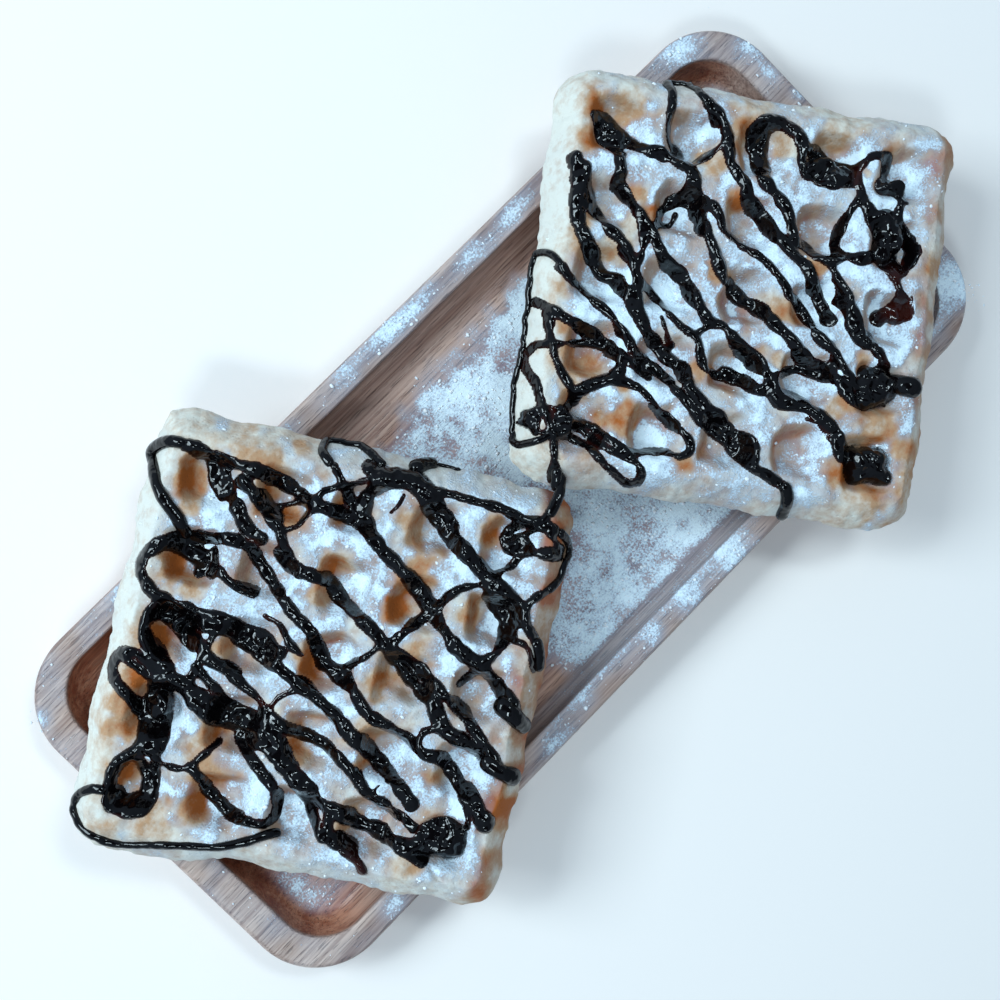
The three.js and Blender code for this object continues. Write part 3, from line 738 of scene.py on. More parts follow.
# Strands, as half width and bends, are where they show from above, on the level of the ribs, and
# traced_from is where their own zero lies. Pools are (u, v, half length along u, half length along
# v, height of the top over the ribs). Watery spots are (u, v, size), where the sauce is thin and
# reddish.
LEFT["traced_from"] = (1.5, 0.25)
LEFT["strands"] = [
    (1.9, [(-53, 50.5), (-47, 49.5), (-40, 48.5), (-35, 48.2), (-30, 47.5), (-25, 46.3),
           (-20, 44.3), (-15, 42.3), (-10, 41.5), (-5, 40.8), (-2, 40), (3, 36.5), (8, 32.5),
           (13, 29.5), (18, 26), (22, 22), (24, 19.5), (28, 15.5), (33, 11), (38, 8.5), (42, 6.5),
           (47, 3), (50, 0), (54, -4)]),
    (1.8, [(12, 29.5), (17, 25.5), (21, 21.5)]),
    (1.5, [(-45, 47.5), (-43.5, 43), (-40, 38.5)]),
    (1.3, [(-12, 54), (-8, 49), (-5, 45), (0, 39)]),
    (1.1, [(3, 55), (-2, 52), (-6, 50), (-10, 48), (-13.5, 46), (-15, 43)]),
    (0.8, [(-24.5, 39.5), (-21, 41), (-17, 43)]),
    (0.8, [(-14, 42), (-16, 39), (-18, 35.5), (-21, 33.5)]),
    (2.4, [(1, 53), (7, 54), (12, 54.5), (16, 51.5)]),
    (2.0, [(-2, 56), (4, 54.5), (8, 55)]),
    (1.9, [(2, 52), (-1, 47.5), (-1, 43), (1, 39)]),
    (0.8, [(9, 50), (8, 47), (6.5, 44.5)]),
    (2.3, [(11, 54), (15, 51), (18.5, 47), (22.5, 43.5), (26, 40.5), (30, 37.5), (34, 35), (38, 32),
           (42, 29), (46, 26.5), (49, 23)]),
    (1.8, [(17, 52), (20, 48), (24, 44.5)]),
    (1.4, [(49, 23), (52, 20.5), (54.5, 18)]),
    (1.1, [(46, 19), (49, 16.5), (52.5, 15.5), (54.5, 12.5), (56, 9.5)]),
    (2.3, [(39, 28), (42, 25), (45, 22), (46, 19)]),
    (1.3, [(14, 53.5), (28, 53), (36, 52.5), (43, 51), (50, 50.7), (54, 49.7)]),
    (1.7, [(56.5, 43), (51, 42.5), (46, 41.8), (42, 41.8), (40, 44), (40.5, 47), (43.5, 49.5),
           (47, 50.5)]),
    (1.7, [(41.5, 42.5), (43.5, 44.5), (47, 43.5)]),
    (1.1, [(44, 46), (47, 48), (50, 49.5)]),
    (1.1, [(50, 50.5), (53, 47.5), (56.5, 44.5)]),
    (1.2, [(55, 32.5), (52.5, 30), (50.3, 27.5), (50, 24)]),
    (1.1, [(45, 41), (43, 37), (40, 34), (38.5, 31.5)]),
    (1.3, [(51.3, 57), (50, 53), (50, 50)]),
    (1.1, [(25.5, 21.5), (28, 25.5), (31, 28), (35, 29.7), (38, 31)]),
    (1.3, [(45, 20), (45.3, 15), (43, 10.5), (40, 8)]),
    (1.2, [(36, 1.5), (38.5, 4.5), (41, 6)]),
    (1.7, [(-46, 26), (-40, 27), (-34, 27.5), (-29, 26), (-26, 23), (-18, 15), (-14, 11), (-8, 7),
           (-5, 3), (-1, -1.5), (3, -3.8), (7, -7), (12, -12), (18, -14.5), (25, -16.5), (30, -20),
           (36, -20.5), (40, -24), (43.5, -28), (48, -32), (52, -36.5)]),
    (1.9, [(-3, -1), (2, -2), (6, -5)]),
    (2.2, [(44, -28), (48, -31.5), (52, -36)]),
    (1.0, [(45, -31), (46, -34), (47, -38)]),
    (1.1, [(28, -17), (29, -14), (32, -12.5)]),
    (2.4, [(-50, 24), (-45, 22), (-41, 20.5), (-38, 18.5)]),
    (1.8, [(-48, 25), (-54, 22), (-57.5, 18), (-57.5, 14), (-55, 10.5), (-51, 7.5), (-45, 4.5),
           (-38, 3), (-30, 2), (-22, -1), (-14, -5), (-8, -8), (-2, -11), (4, -15), (9, -19),
           (15, -22), (20, -25.5), (25, -30), (30, -34.5)]),
    (2.0, [(-50, 7.5), (-44, 6), (-38, 5.3), (-32, 5.3), (-27, 4), (-21, 2.5), (-15, -0.5)]),
    (1.4, [(-39, 23), (-37, 19), (-34, 16.5), (-30, 15), (-26, 14.5)]),
    (1.4, [(-41, 20), (-41.5, 17)]),
    (1.8, [(-42, 46), (-39, 41), (-35, 36), (-32, 32), (-27, 29.5)]),
    (1.9, [(-36, 44), (-30, 40.5), (-26, 37), (-23, 33), (-20.5, 28.5), (-17, 24.3), (-11, 22.5),
           (-6, 22), (-3, 19), (2, 15), (7, 12), (12, 8.5), (17, 4.5), (21, 0.5), (25, -2.5),
           (29, -5), (32, -9), (35, -12.5), (40, -14.5), (45, -16), (49, -18), (53, -20.5)]),
    (1.3, [(-22, 27), (-19, 24), (-15, 22)]),
    (1.3, [(15, 9), (17.5, 12.5), (20.5, 16), (22.5, 18.5)]),
    (1.0, [(12, 8), (9, 4), (5, 0.5), (2, -1.5)]),
    (1.6, [(14, 7), (19, 6), (23, 4), (27, 1), (32, -2.5), (38, -5.7), (42, -9.7), (46, -13.5),
           (50, -17)]),
    (1.8, [(-50, 6), (-53, 0), (-52, -4), (-48, -8), (-44, -12), (-43, -16)]),
    (2.4, [(-46, 3), (-42, 0), (-38, -3), (-36, -5)]),
    (1.0, [(-34, 1), (-36, -6), (-37.5, -12)]),
    (3.5, [(-45, -16), (-44.5, -22), (-44, -28), (-43.8, -32)]),
    (1.7, [(-44, -31), (-48, -35), (-52, -40), (-52.5, -45), (-49.5, -50), (-45, -51.3),
           (-41.5, -49), (-40.7, -44), (-41.3, -39), (-42.7, -34)]),
    (2.2, [(-50.5, -48), (-47, -50), (-42.7, -48.5)]),
    (1.4, [(-46, -37), (-43, -41), (-43, -45)]),
    (1.4, [(-43, -15.5), (-47, -12.5), (-51, -9.5), (-55, -8.5), (-58, -10), (-59, -13.5),
           (-57, -17.5), (-53, -20.5), (-49, -23.5)]),
    (1.0, [(-56, -11), (-52, -12.5), (-48, -15), (-44, -16)]),
    (0.9, [(-43, -36), (-37, -37.5), (-33, -36.5), (-30, -33), (-26, -28)]),
    (1.6, [(-32, -36.5), (-29, -38.7), (-25, -42), (-20, -45.5), (-14, -48), (-9, -47.7),
           (-6.5, -44), (-7, -40), (-10, -36.5), (-14, -33), (-18, -29), (-20.5, -25)]),
    (2.0, [(-42, -14), (-32, -17), (-24, -20), (-18, -23), (-13, -27), (-7, -31), (-1, -36.5),
           (8, -40), (15, -42), (23, -43.5), (29, -46.5), (36, -48.5)]),
    (2.6, [(-40, -15), (-34, -18), (-28, -20.5), (-22, -22), (-17, -25)]),
    (1.8, [(-16, -19), (-11, -24), (-7, -28.5), (-2, -33.5), (3, -37)]),
    (1.4, [(1, -38), (4, -43), (6.5, -48)]),
    (1.1, [(4, -38), (7.5, -42.5), (9, -46)]),
    (2.3, [(8, -48), (12, -48.5), (16, -50.5)]),
    (1.4, [(16, -51), (19, -53.5), (20.5, -55.5)]),
    (1.6, [(-38, -1), (-34, -6), (-28, -8), (-23, -11.5), (-18, -14.5), (-15, -18), (-10, -20.5),
           (-3, -21.3), (3, -23), (8, -26.5), (13, -30), (17, -34), (22, -36), (27, -38),
           (32, -41)]),
    (1.4, [(-37, -9), (-33, -12), (-29, -14.5), (-24, -17.5), (-19, -19), (-14, -22), (-9, -25)]),
    (0.7, [(18.5, -33.5), (20, -31), (22, -30)]),
    (1.0, [(-21.5, 8.5), (-17, 7), (-13, 2.5), (-9, 0)]),
    (0.8, [(-15, -18), (-13, -13), (-9, -10)]),
]
LEFT["over_edge"] = [
    (1.8, [(-47, 26), (-51, 30.5), (-55, 34), (-58, 38), (-60, 43), (-61, 47), (-58, 50.3),
           (-53, 51)]),
    (1.4, [(2, 56.5), (-3, 59.5), (-8, 61.5), (-12, 62.5), (-15, 61), (-16, 57), (-12.5, 53.5)]),
    (2.4, [(9, 57), (13, 59.5), (16.5, 60.3)]),
    (0.8, [(16, 61), (20, 62.3), (24, 62.6)]),
    (2.9, [(48, -1), (52, -4), (54.5, -5.8), (57, -7)]),
    (2.5, [(47, -18), (52, -20.5), (55, -21.3), (57.5, -21.5)]),
    (1.8, [(54, 18.5), (56, 14), (57, 9.5)]),
    (1.3, [(54, 49.8), (57, 47.5), (58.2, 44), (57.5, 40), (57, 36), (54.5, 32)]),
    (1.35, [(-53, -47), (-57, -47.5), (-60, -50), (-60, -54), (-57, -58), (-52, -60), (-46, -60.5),
            (-40, -59.5), (-34, -58.5), (-28, -57.5), (-20, -56.3), (-14, -54), (-9, -51.5),
            (-4, -49.3)]),
]
LEFT["pools"] = [(38.5, -41.3, 9.8, 6.6, 0.6), (11, 53, 5.5, 3.6, 1.0), (-40, -12, 3.2, 2.6, 0.7),
                 (-45, 3, 3.2, 2.2, 0.8), (-44, -22, 3, 3.4, 0.6)]
LEFT["watery"] = [(20, -55, 5)]
RIGHT["traced_from"] = (-0.25, -0.35)
RIGHT["strands"] = [
    (1.9, [(-47, 45), (-42, 41.5), (-38, 39), (-34, 38.4), (-30, 38), (-26, 37.3), (-21, 35.6),
           (-18.5, 33), (-18, 30), (-17, 25), (-14.5, 20), (-11, 14.5), (-8, 8.5), (-4.5, 3),
           (0, -0.7), (7, -3.5), (12, -7), (16, -9.7), (19, -13), (23, -16), (28, -17.5), (32, -20),
           (35, -23), (39, -26)]),
    (2.9, [(-48.5, 44.5), (-45, 42), (-42.5, 39.5)]),
    (1.9, [(-50, 45.5), (-47.5, 40), (-43.5, 36.7), (-41, 36)]),
    (1.9, [(-54, 33), (-52.5, 28), (-50, 23), (-46.5, 18), (-42, 14.7), (-38, 11.5), (-35, 8),
           (-32.5, 3.5), (-31, -2), (-30, -8), (-27, -13.5), (-24, -17.5), (-20, -20.7),
           (-15, -23.5), (-12, -28), (-8, -32), (-3, -36), (1, -39), (7, -41.5), (10, -46)]),
    (1.7, [(-50.5, 31), (-49.5, 26), (-47.5, 21)]),
    (2.0, [(-53, 27), (-52, 20), (-50.5, 14.5), (-47.5, 9.5), (-45, 4), (-42, 0.5), (-38, -0.7),
           (-34, -4), (-31, -8)]),
    (1.5, [(-32, 17), (-31, 13), (-31, 9), (-32, 5)]),
    (1.7, [(-54, 1), (-50, -2.5), (-46, -5.5), (-40, -9), (-35.5, -13), (-31, -18), (-28, -21.5),
           (-22, -25), (-16, -29.5), (-11, -33.5), (-6, -38), (0, -42), (5, -46), (11, -49.2),
           (17, -51.7), (20, -53.3)]),
    (1.5, [(-60, -10.3), (-57, -11), (-52, -13), (-47, -15), (-42, -17.5), (-36, -20.3), (-31, -23),
           (-25, -27)]),
    (1.4, [(-56, -12.5), (-54.8, -18), (-53.3, -22), (-51.7, -26), (-49, -30), (-46.5, -33.3),
           (-45, -37)]),
    (1.2, [(-33, -24), (-37, -21), (-42, -20), (-48, -20.5), (-54, -21.5), (-58.5, -22.7),
           (-60.5, -26)]),
    (1.3, [(-61, -26.5), (-60, -30), (-57, -33), (-55, -37), (-54, -40), (-52, -43.5)]),
    (1.8, [(-41, 35), (-40, 31), (-41, 27.5), (-38.5, 24.5), (-35.5, 22), (-33, 19.5), (-31, 17),
           (-28, 13.5), (-24, 7.5), (-19, 3), (-14, -2), (-9, -8), (-4, -9), (0, -13), (5, -17),
           (9, -20), (12, -23), (14, -26), (18, -28), (24, -29.3), (28, -31), (32, -34),
           (35, -37.5), (38, -42)]),
    (2.5, [(12, -24), (15, -27.5), (19, -28)]),
    (1.6, [(14, -26), (19, -26.5), (23, -27.5)]),
    (0.9, [(24, -32.5), (28, -34), (31, -37.5)]),
    (2.4, [(34, -37), (36, -41), (39, -44)]),
    (1.4, [(-32, 2), (-29, -1), (-25, -4.5), (-21, -7.5), (-17, -10.7), (-13, -13), (-11, -15),
           (-10, -19), (-7, -22.7), (-2, -24), (3, -25), (9, -26), (14, -26)]),
    (1.2, [(-3, -21.7), (3, -23), (8, -25), (12, -26)]),
    (1.2, [(12, -22), (15, -20), (19, -18.7), (24, -19.5), (30, -20)]),
    (0.9, [(-9, -10), (-11, -11.5), (-13, -13)]),
    (0.8, [(-23, -9), (-21, -13), (-19, -17)]),
    (1.5, [(-28, 54.5), (-27.6, 52), (-28, 49), (-28, 45), (-27, 41), (-24, 38)]),
    (1.8, [(-17, 55), (-14, 52), (-11.3, 48.5), (-9.5, 44), (-8.5, 39), (-6, 36), (-3, 33),
           (-2, 29.5), (1, 25.3), (5, 21.7), (10, 18.3), (14, 15), (18, 12), (20.5, 8), (22, 4),
           (24, 0.5), (26.5, -3)]),
    (1.2, [(-11, 45), (-13, 42), (-16, 39), (-19, 36.5)]),
    (1.9, [(26, 41.3), (21, 43.3), (17, 45.3), (13, 47.3), (10.5, 50.3), (7, 52.3), (3, 53),
           (-1, 51.3), (-2.7, 47), (-1.7, 42), (1, 37), (4, 33.5), (8, 30), (11, 26), (13, 21.5),
           (16, 17.7), (20, 15.7), (25, 15.5), (30, 16.7), (35, 17), (39, 19)]),
    (1.5, [(0, 48), (0.5, 43), (2, 38)]),
    (1.8, [(12.5, 45), (13.3, 40.5), (17, 37.7), (23, 37.2), (28, 38)]),
    (1.4, [(27, 41.5), (30.5, 44), (33, 47), (36, 48), (38, 46), (37.5, 42), (37, 39)]),
    (2.3, [(37, 38.5), (40, 38.3), (43.7, 36.3)]),
    (1.5, [(29.5, 43), (31, 38), (33, 34), (36, 31), (39, 28)]),
    (1.4, [(44, 34), (44, 30), (46, 26), (49, 23), (49.5, 19), (48, 15.5), (45, 13)]),
    (3.4, [(40, 29), (40.5, 24), (41, 19), (42, 15.5)]),
    (1.2, [(31, 34), (29, 30), (26.8, 25), (26.5, 20), (27.5, 16.5)]),
    (1.5, [(33, 33), (36, 27), (38, 21)]),
    (1.5, [(44, 14), (46.5, 10.5), (47.3, 7), (46, 3.5)]),
    (2.5, [(41.5, 0), (44, 1.5), (47, 1.7)]),
    (0.8, [(51, 8), (52, 4), (52, 1)]),
    (1.6, [(25, 14), (28, 9.7), (31, 5.5), (33.5, 1.5), (36, -2.5), (39, -5.5), (42, -8.5),
           (44.5, -12), (45, -17)]),
    (2.4, [(31, 4), (34, -1), (36, -5), (39, -7)]),
    (1.6, [(-15, 26), (-12, 25.3), (-9.5, 22.5), (-7.7, 19), (-4.5, 16.5), (0, 14.5), (3, 13.3),
           (8, 9.7), (12, 6), (15, 2), (18, -1), (21, -4.5), (25, -8.3), (29, -11), (32, -14.7),
           (35, -18), (38, -21)]),
    (2.0, [(-24.5, 24), (-22, 25), (-19, 24.5)]),
    (1.4, [(-20, 32), (-21, 28)]),
    (1.3, [(-30, 15.5), (-27.7, 17.7), (-27.5, 20.5), (-25, 23)]),
    (1.0, [(-27, 17), (-24, 17.7), (-22.7, 21)]),
    (1.6, [(-49, -43), (-46, -37), (-44, -34), (-40, -31), (-36, -29), (-33, -26)]),
    (1.3, [(-35, -29.5), (-30, -29.5), (-26, -31), (-22, -34.5), (-18, -38), (-14, -40.5),
           (-10.5, -43), (-9.5, -46), (-12, -48.3), (-17, -48), (-22, -48.5), (-27, -49.3),
           (-31, -47.5), (-36, -45), (-41, -43), (-46, -43), (-49, -44)]),
    (1.3, [(-47, -47), (-42, -48.5), (-38, -50.5), (-34, -53.5), (-30, -56.5), (-26.5, -58.3),
           (-23.5, -57.3), (-23, -54.5), (-25, -52), (-29, -50.5), (-34, -49), (-39, -46.5),
           (-43, -44.5), (-47, -44.5)]),
    (1.6, [(-50.5, -46), (-49, -51), (-48.5, -55), (-48.2, -59)]),
]
RIGHT["over_edge"] = [
    (1.15, [(-53, 0.5), (-55.5, 3.2), (-58.7, 4.3), (-61.7, 3), (-63.2, 0), (-63, -5), (-62, -10),
            (-62, -18), (-62.5, -25), (-63, -30), (-63.5, -37), (-64, -43), (-63, -48),
            (-60, -51.3), (-57, -50.8), (-53, -49), (-50, -46.5)]),
    (1.5, [(-28, 53.5), (-28.3, 56.3), (-30.5, 58.3)]),
    (1.3, [(-31, 58.7), (-26, 58.9), (-21, 57.8), (-16.5, 54.7)]),
    (1.9, [(18.5, -52), (20.5, -54), (21, -57), (20.3, -60), (19.5, -62.3)]),
    (3.0, [(45, -18.5), (50.5, -18.5), (54, -18.7), (56.3, -19)]),
]
RIGHT["pools"] = [(44, -42.3, 7.2, 5.8, 1.4), (43, -21, 7.5, 6.8, 1.2), (20.5, 39.5, 8.5, 4.6, 1.0),
                  (40.5, 38, 5, 3, 0.9), (-50.5, -44, 7, 5.6, 1.3), (41, 22, 4.5, 7.5, 0.6)]
RIGHT["watery"] = [(46, 3, 4), (31, 41, 3), (44, 12, 3), (8, 55, 3), (51, 2, 5), (45, -12, 2)]


def smooth_path(bends, spacing=PATH_STEP):
    """A curve through the bends, Catmull-Rom between each two, with even steps along it."""
    bends = np.array(bends, float)
    ends = np.concatenate([[2 * bends[0] - bends[1]], bends, [2 * bends[-1] - bends[-2]]])
    t = np.linspace(0, 1, 24, endpoint=False)[None, :, None]
    a, b, c, d = ends[:-3, None], ends[1:-2, None], ends[2:-1, None], ends[3:, None]
    curve = 0.5 * (2 * b + (c - a) * t + (2 * a - 5 * b + 4 * c - d) * t ** 2
                   + (3 * b - a - 3 * c + d) * t ** 3)
    curve = np.concatenate([curve.reshape(-1, bends.shape[1]), bends[-1:]])
    length = np.concatenate([[0], np.cumsum(np.linalg.norm(np.diff(curve, axis=0), axis=1))])
    even = np.linspace(0, length[-1], max(int(length[-1] / spacing), 2))
    return np.stack([np.interp(even, length, column) for column in curve.T], 1)


def onto_crust(path, waffle):
    """Moves places seen on the level of the ribs along the line of sight down on to the crust, and
    from the uneven outline back to the even one that `baked` starts from."""
    turn = math.radians(waffle["turn"])
    from_middle = np.array(EYE[:2]) - waffle["middle"]
    eye_u = from_middle[0] * math.cos(turn) + from_middle[1] * math.sin(turn)
    eye_v = from_middle[1] * math.cos(turn) - from_middle[0] * math.sin(turn)
    eye = np.array([eye_u, eye_v])
    seen = path + waffle["traced_from"]
    placed = seen
    for _ in range(6):
        height = TRAY_HEIGHT + REST_GAP + crust_height(placed[:, 0], placed[:, 1], waffle)
        share = (EYE[2] - height - SAUCE_MIDDLE) / (EYE[2] - TRACED_HEIGHT)
        uneven = np.stack(baked(placed[:, 0], placed[:, 1], waffle), 1) - placed
        placed = eye + (seen - eye) * share[:, None] - uneven
    return placed


def bead(u, v, half_width, path):
    """Height of a strand over what it lies on: across it H(1 - (d/W)^2)^0.6, with H growing with
    the half width W but slower than it, the highest of those round all points of its path; beyond
    W it falls steeply."""
    count = u.shape[0]
    window = int(math.ceil(half_width.max() * 1.5 / SAUCE_CELL))
    nearest = np.round((path - u[0, 0]) / SAUCE_CELL).astype(int)
    offset = np.arange(-window, window + 1)
    column = np.clip(nearest[:, 0, None, None] + offset[None, :, None], 0, count - 1)
    row = np.clip(nearest[:, 1, None, None] + offset[None, None, :], 0, count - 1)
    column, row = np.broadcast_arrays(column, row)
    on_path = path[:, :, None, None]
    away = np.hypot(u[column, row] - on_path[:, 0], v[column, row] - on_path[:, 1])
    half = half_width[:, None, None]
    top = BEAD_RISE * half / np.hypot(1, half / BEAD_SLUMP)
    height = top * np.maximum(1 - (away / half) ** 2, 0) ** BEAD_ROUND
    height = np.where(away > half, -(away - half) * 1.5, height)
    field = np.full(u.shape, -9.0)
    np.maximum.at(field, (column, row), height)
    return field


def softened(field, times):
    """Blurs a grid a few times with weights of one, two and one along each side."""
    for _ in range(times):
        padded = np.pad(field, 1, mode="edge")
        field = (padded[:-2] + 2 * padded[1:-1] + padded[2:]) / 4
        field = (field[:, :-2] + 2 * field[:, 1:-1] + field[:, 2:]) / 4
    return field


def sauce_top(u, v, ground, waffle):
    """Height of the sauce over the whole grid: the crust, evened out, plus the strands' beads run
    together by the soft maximum log(sum of e^(kh)) / k, plus small lumps. A pool's level is a low
    dome with a bent outline, and is joined to that by another soft maximum."""
    seed = waffle["seed"]
    total = np.zeros_like(u)
    for number, (width, bends) in enumerate(waffle["strands"]):
        path = onto_crust(smooth_path(bends), waffle)
        along = np.arange(len(path)) * PATH_STEP
        swell = ripples(along, 0 * along, seed + number, (0.22, 4.5, 0), (0.16, 2.1, 40))
        half_width = width * waffle["spread"] * (1 + swell)
        total += np.exp(RUN_TOGETHER * bead(u, v, half_width, path))
    thickness = softened(np.log(np.maximum(total, 1e-9)) / RUN_TOGETHER, 1)
    lumps = ripples(u, v, seed, (0.5, 3.2, 61), (0.34, 1.6, 62))
    top = softened(ground, 6) + thickness + lumps * np.clip(thickness / 1.5, 0, 1)
    bent_u = u + ripples(u, v, seed, (2.2, 6, 60), (0.8, 2.5, 63))
    bent_v = v + ripples(u, v, seed, (2.2, 6, 64), (0.8, 2.5, 65))
    for middle_u, middle_v, half_u, half_v, over_ribs in waffle["pools"]:
        off_u = (bent_u - middle_u - waffle["traced_from"][0]) / half_u
        off_v = (bent_v - middle_v - waffle["traced_from"][1]) / half_v
        away = np.hypot(off_u, off_v).clip(0, 2)
        level = THICKNESS + over_ribs - POOL_SUNK - POOL_DOME * away ** 2 - POOL_EDGE * away ** 6
        level += 1.5 * lumps + 0.45 * np.clip(thickness, 0, 3)
        top = np.logaddexp(2 * top, 2 * level) / 2
    return top


def sauce(waffle, material):
    """A closed sheet over the grid cells that hold sauce, the places of the grid's lines, and which
    of its points hold sauce. The sheet's rim dips under the crust and its back lies just inside."""
    count = int(2 * SAUCE_AREA / SAUCE_CELL)
    line = (np.arange(count) - (count - 1) / 2) * SAUCE_CELL
    u, v = np.meshgrid(line, line, indexing="ij")
    ground = crust_height(u, v, waffle)
    top = sauce_top(u, v, ground, waffle)
    held = (top > ground - SINK) & (reach_of(u, v) < SEAM_HALF - SINK)
    cell = held[:-1, :-1] & held[1:, :-1] & held[1:, 1:] & held[:-1, 1:]
    number = np.arange(count * count).reshape(count, count)
    corners = np.stack([number[:-1, :-1], number[1:, :-1], number[1:, 1:], number[:-1, 1:]], -1)
    faces = [corners[cell], (corners[cell] + count * count)[:, ::-1]]
    framed = np.pad(cell, 1)
    beside = (framed[1:-1, :-2], framed[2:, 1:-1], framed[1:-1, 2:], framed[:-2, 1:-1])
    for side, neighbour in enumerate(beside):
        edge = corners[cell & ~neighbour]
        first, second = edge[:, side], edge[:, (side + 1) % 4]
        faces.append(np.stack([second, first, first + count * count, second + count * count], -1))
    faces = np.concatenate(faces)
    back = np.minimum(ground - BACK_SUNK, top - LEAST_THICK)
    out_u, out_v = baked(u, v, waffle)
    points = np.concatenate([set_down(out_u, out_v, top, waffle).reshape(-1, 3),
                             set_down(out_u, out_v, back, waffle).reshape(-1, 3)])
    used, renumbered = np.unique(faces, return_inverse=True)
    piece = mesh_piece("sauce_" + waffle["name"], points[used], renumbered.reshape(-1, 4), material)
    thin = 0 * u
    for middle_u, middle_v, size in waffle["watery"]:
        thin = np.maximum(thin, patch(u, v, (middle_u, middle_v), (size, size)))
    thin = np.clip(thin + eased(ground - top, -0.7, -0.1), 0, 1)
    paint(piece, "thin", np.tile(thin.ravel(), 2)[used])
    return piece, line, held


def run_along(name, centres, outward, half_widths, material):
    """One closed mesh of strands as swept round sections: rings of radius W across each path, half
    laid against what is below them, drawn in to a point at both ends like a drop."""
    around = np.linspace(0, 2 * math.pi, ROUND_POINTS, endpoint=False)
    all_points, all_faces, used = [], [], 0
    for centre, out_from, half in zip(centres, outward, half_widths):
        along = np.gradient(centre, axis=0)
        along /= np.linalg.norm(along, axis=1)[:, None]
        side = np.cross(along, out_from)
        side /= np.linalg.norm(side, axis=1)[:, None]
        lift = np.cross(side, along)
        step = np.linalg.norm(np.diff(centre, axis=0), axis=1)
        from_start = np.concatenate([[0], np.cumsum(step)])
        to_end = np.minimum(from_start, from_start[-1] - from_start)
        half = half * np.sqrt(np.clip(1 - (1 - to_end / half.mean()).clip(0, 1) ** 2, 0, 1))
        wide = np.cos(around)[None, :, None] * side[:, None]
        high = np.sin(around)[None, :, None] * lift[:, None]
        ring = (wide + high * FLATTENED) * half[:, None, None]
        all_points.append((centre[:, None] + ring).reshape(-1, 3))
        all_faces.append(ring_faces(len(centre), len(around)) + used)
        used += len(centre) * len(around)
    piece = mesh_piece(name, np.concatenate(all_points), np.concatenate(all_faces), material)
    close_seams(piece)
    return piece


def softened_line(values):
    """Evens out a row of numbers by averages over nine neighbours."""
    padded = np.pad(values, 4, mode="edge")
    return np.convolve(padded, np.ones(9) / 9, mode="valid")


def over_edge(waffle):
    """Centre lines, outward directions and half widths of the strands that lie on a waffle's
    rounded sides, from where they are seen. A side's outward direction comes from its slope."""
    centres, outward, halves = [], [], []
    for number, (width, bends) in enumerate(waffle["over_edge"]):
        u, v = onto_crust(smooth_path(bends, EDGE_PATH_STEP), waffle).T
        inside = np.minimum(1, (SEAM_HALF - 0.25) / reach_of(u, v))
        u, v = u * inside, v * inside
        step = 0.4
        slope_u = crust_height(u + step, v, waffle) - crust_height(u - step, v, waffle)
        slope_v = crust_height(u, v + step, waffle) - crust_height(u, v - step, waffle)
        normal = np.stack([-softened_line(slope_u), -softened_line(slope_v), 0 * u + 2 * step], 1)
        normal /= np.linalg.norm(normal, axis=1)[:, None]
        height = softened_line(crust_height(u, v, waffle))
        turn = math.radians(waffle["turn"])
        spun = np.stack([normal[:, 0] * math.cos(turn) - normal[:, 1] * math.sin(turn),
                         normal[:, 0] * math.sin(turn) + normal[:, 1] * math.cos(turn),
                         normal[:, 2]], 1)
        along = np.arange(len(u)) * EDGE_PATH_STEP
        half = width * (1 + 0.14 * ripple(along, 0 * along, 3.5, waffle["seed"] + 70 + number))
        centres.append(set_down(*baked(u, v, waffle), height, waffle) + spun * 0.25 * width)
        outward.append(spun)
        halves.append(half)
    return centres, outward, halves


# Chocolate sauce: sugar syrup with cocoa, so dark that only a thin film lets its red brown
# through, and with the wet gloss of a syrup, whose small waves break each highlight up.
SAUCE_DARK = "#060405"
SAUCE_THIN = "#2e0d08"
WAVE = 2.8
sauce_finish, tree, out = finish_of("chocolate_sauce")
thin = add(tree, "Attribute", attribute_name="thin").outputs["Fac"]
tint = add(tree, "Mix", {0: thin, 6: linear(SAUCE_DARK), 7: linear(SAUCE_THIN)}, data_type="RGBA")
waves = add(tree, "TexNoise", {"Vector": place_in(tree), "Scale": 1 / WAVE, "Detail": 1.0})
bump = add(tree, "Bump", {"Height": waves.outputs["Fac"], "Strength": 0.6, "Distance": 0.0009})
shader = add(tree, "BsdfPrincipled", {"Base Color": tint.outputs[2], "Roughness": 0.08,
                                      "IOR": 1.4, "Specular IOR Level": 0.5,
                                      "Normal": bump.outputs[0]})
tree.links.new(shader.outputs["BSDF"], out.inputs["Surface"])

for waffle in (LEFT, RIGHT):
    piece, sauce_line, sauce_held = sauce(waffle, sauce_finish)
    waffle["sauced"] = (sauce_line, sauce_held)
    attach(piece, "root")
    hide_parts("waffle_" + waffle["name"])
    edge = run_along("sauce_over_edge_" + waffle["name"], *over_edge(waffle), sauce_finish)
    paint(edge, "thin", np.zeros(len(edge.data.vertices)))
    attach(edge, "root")
    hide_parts("waffle_" + waffle["name"])

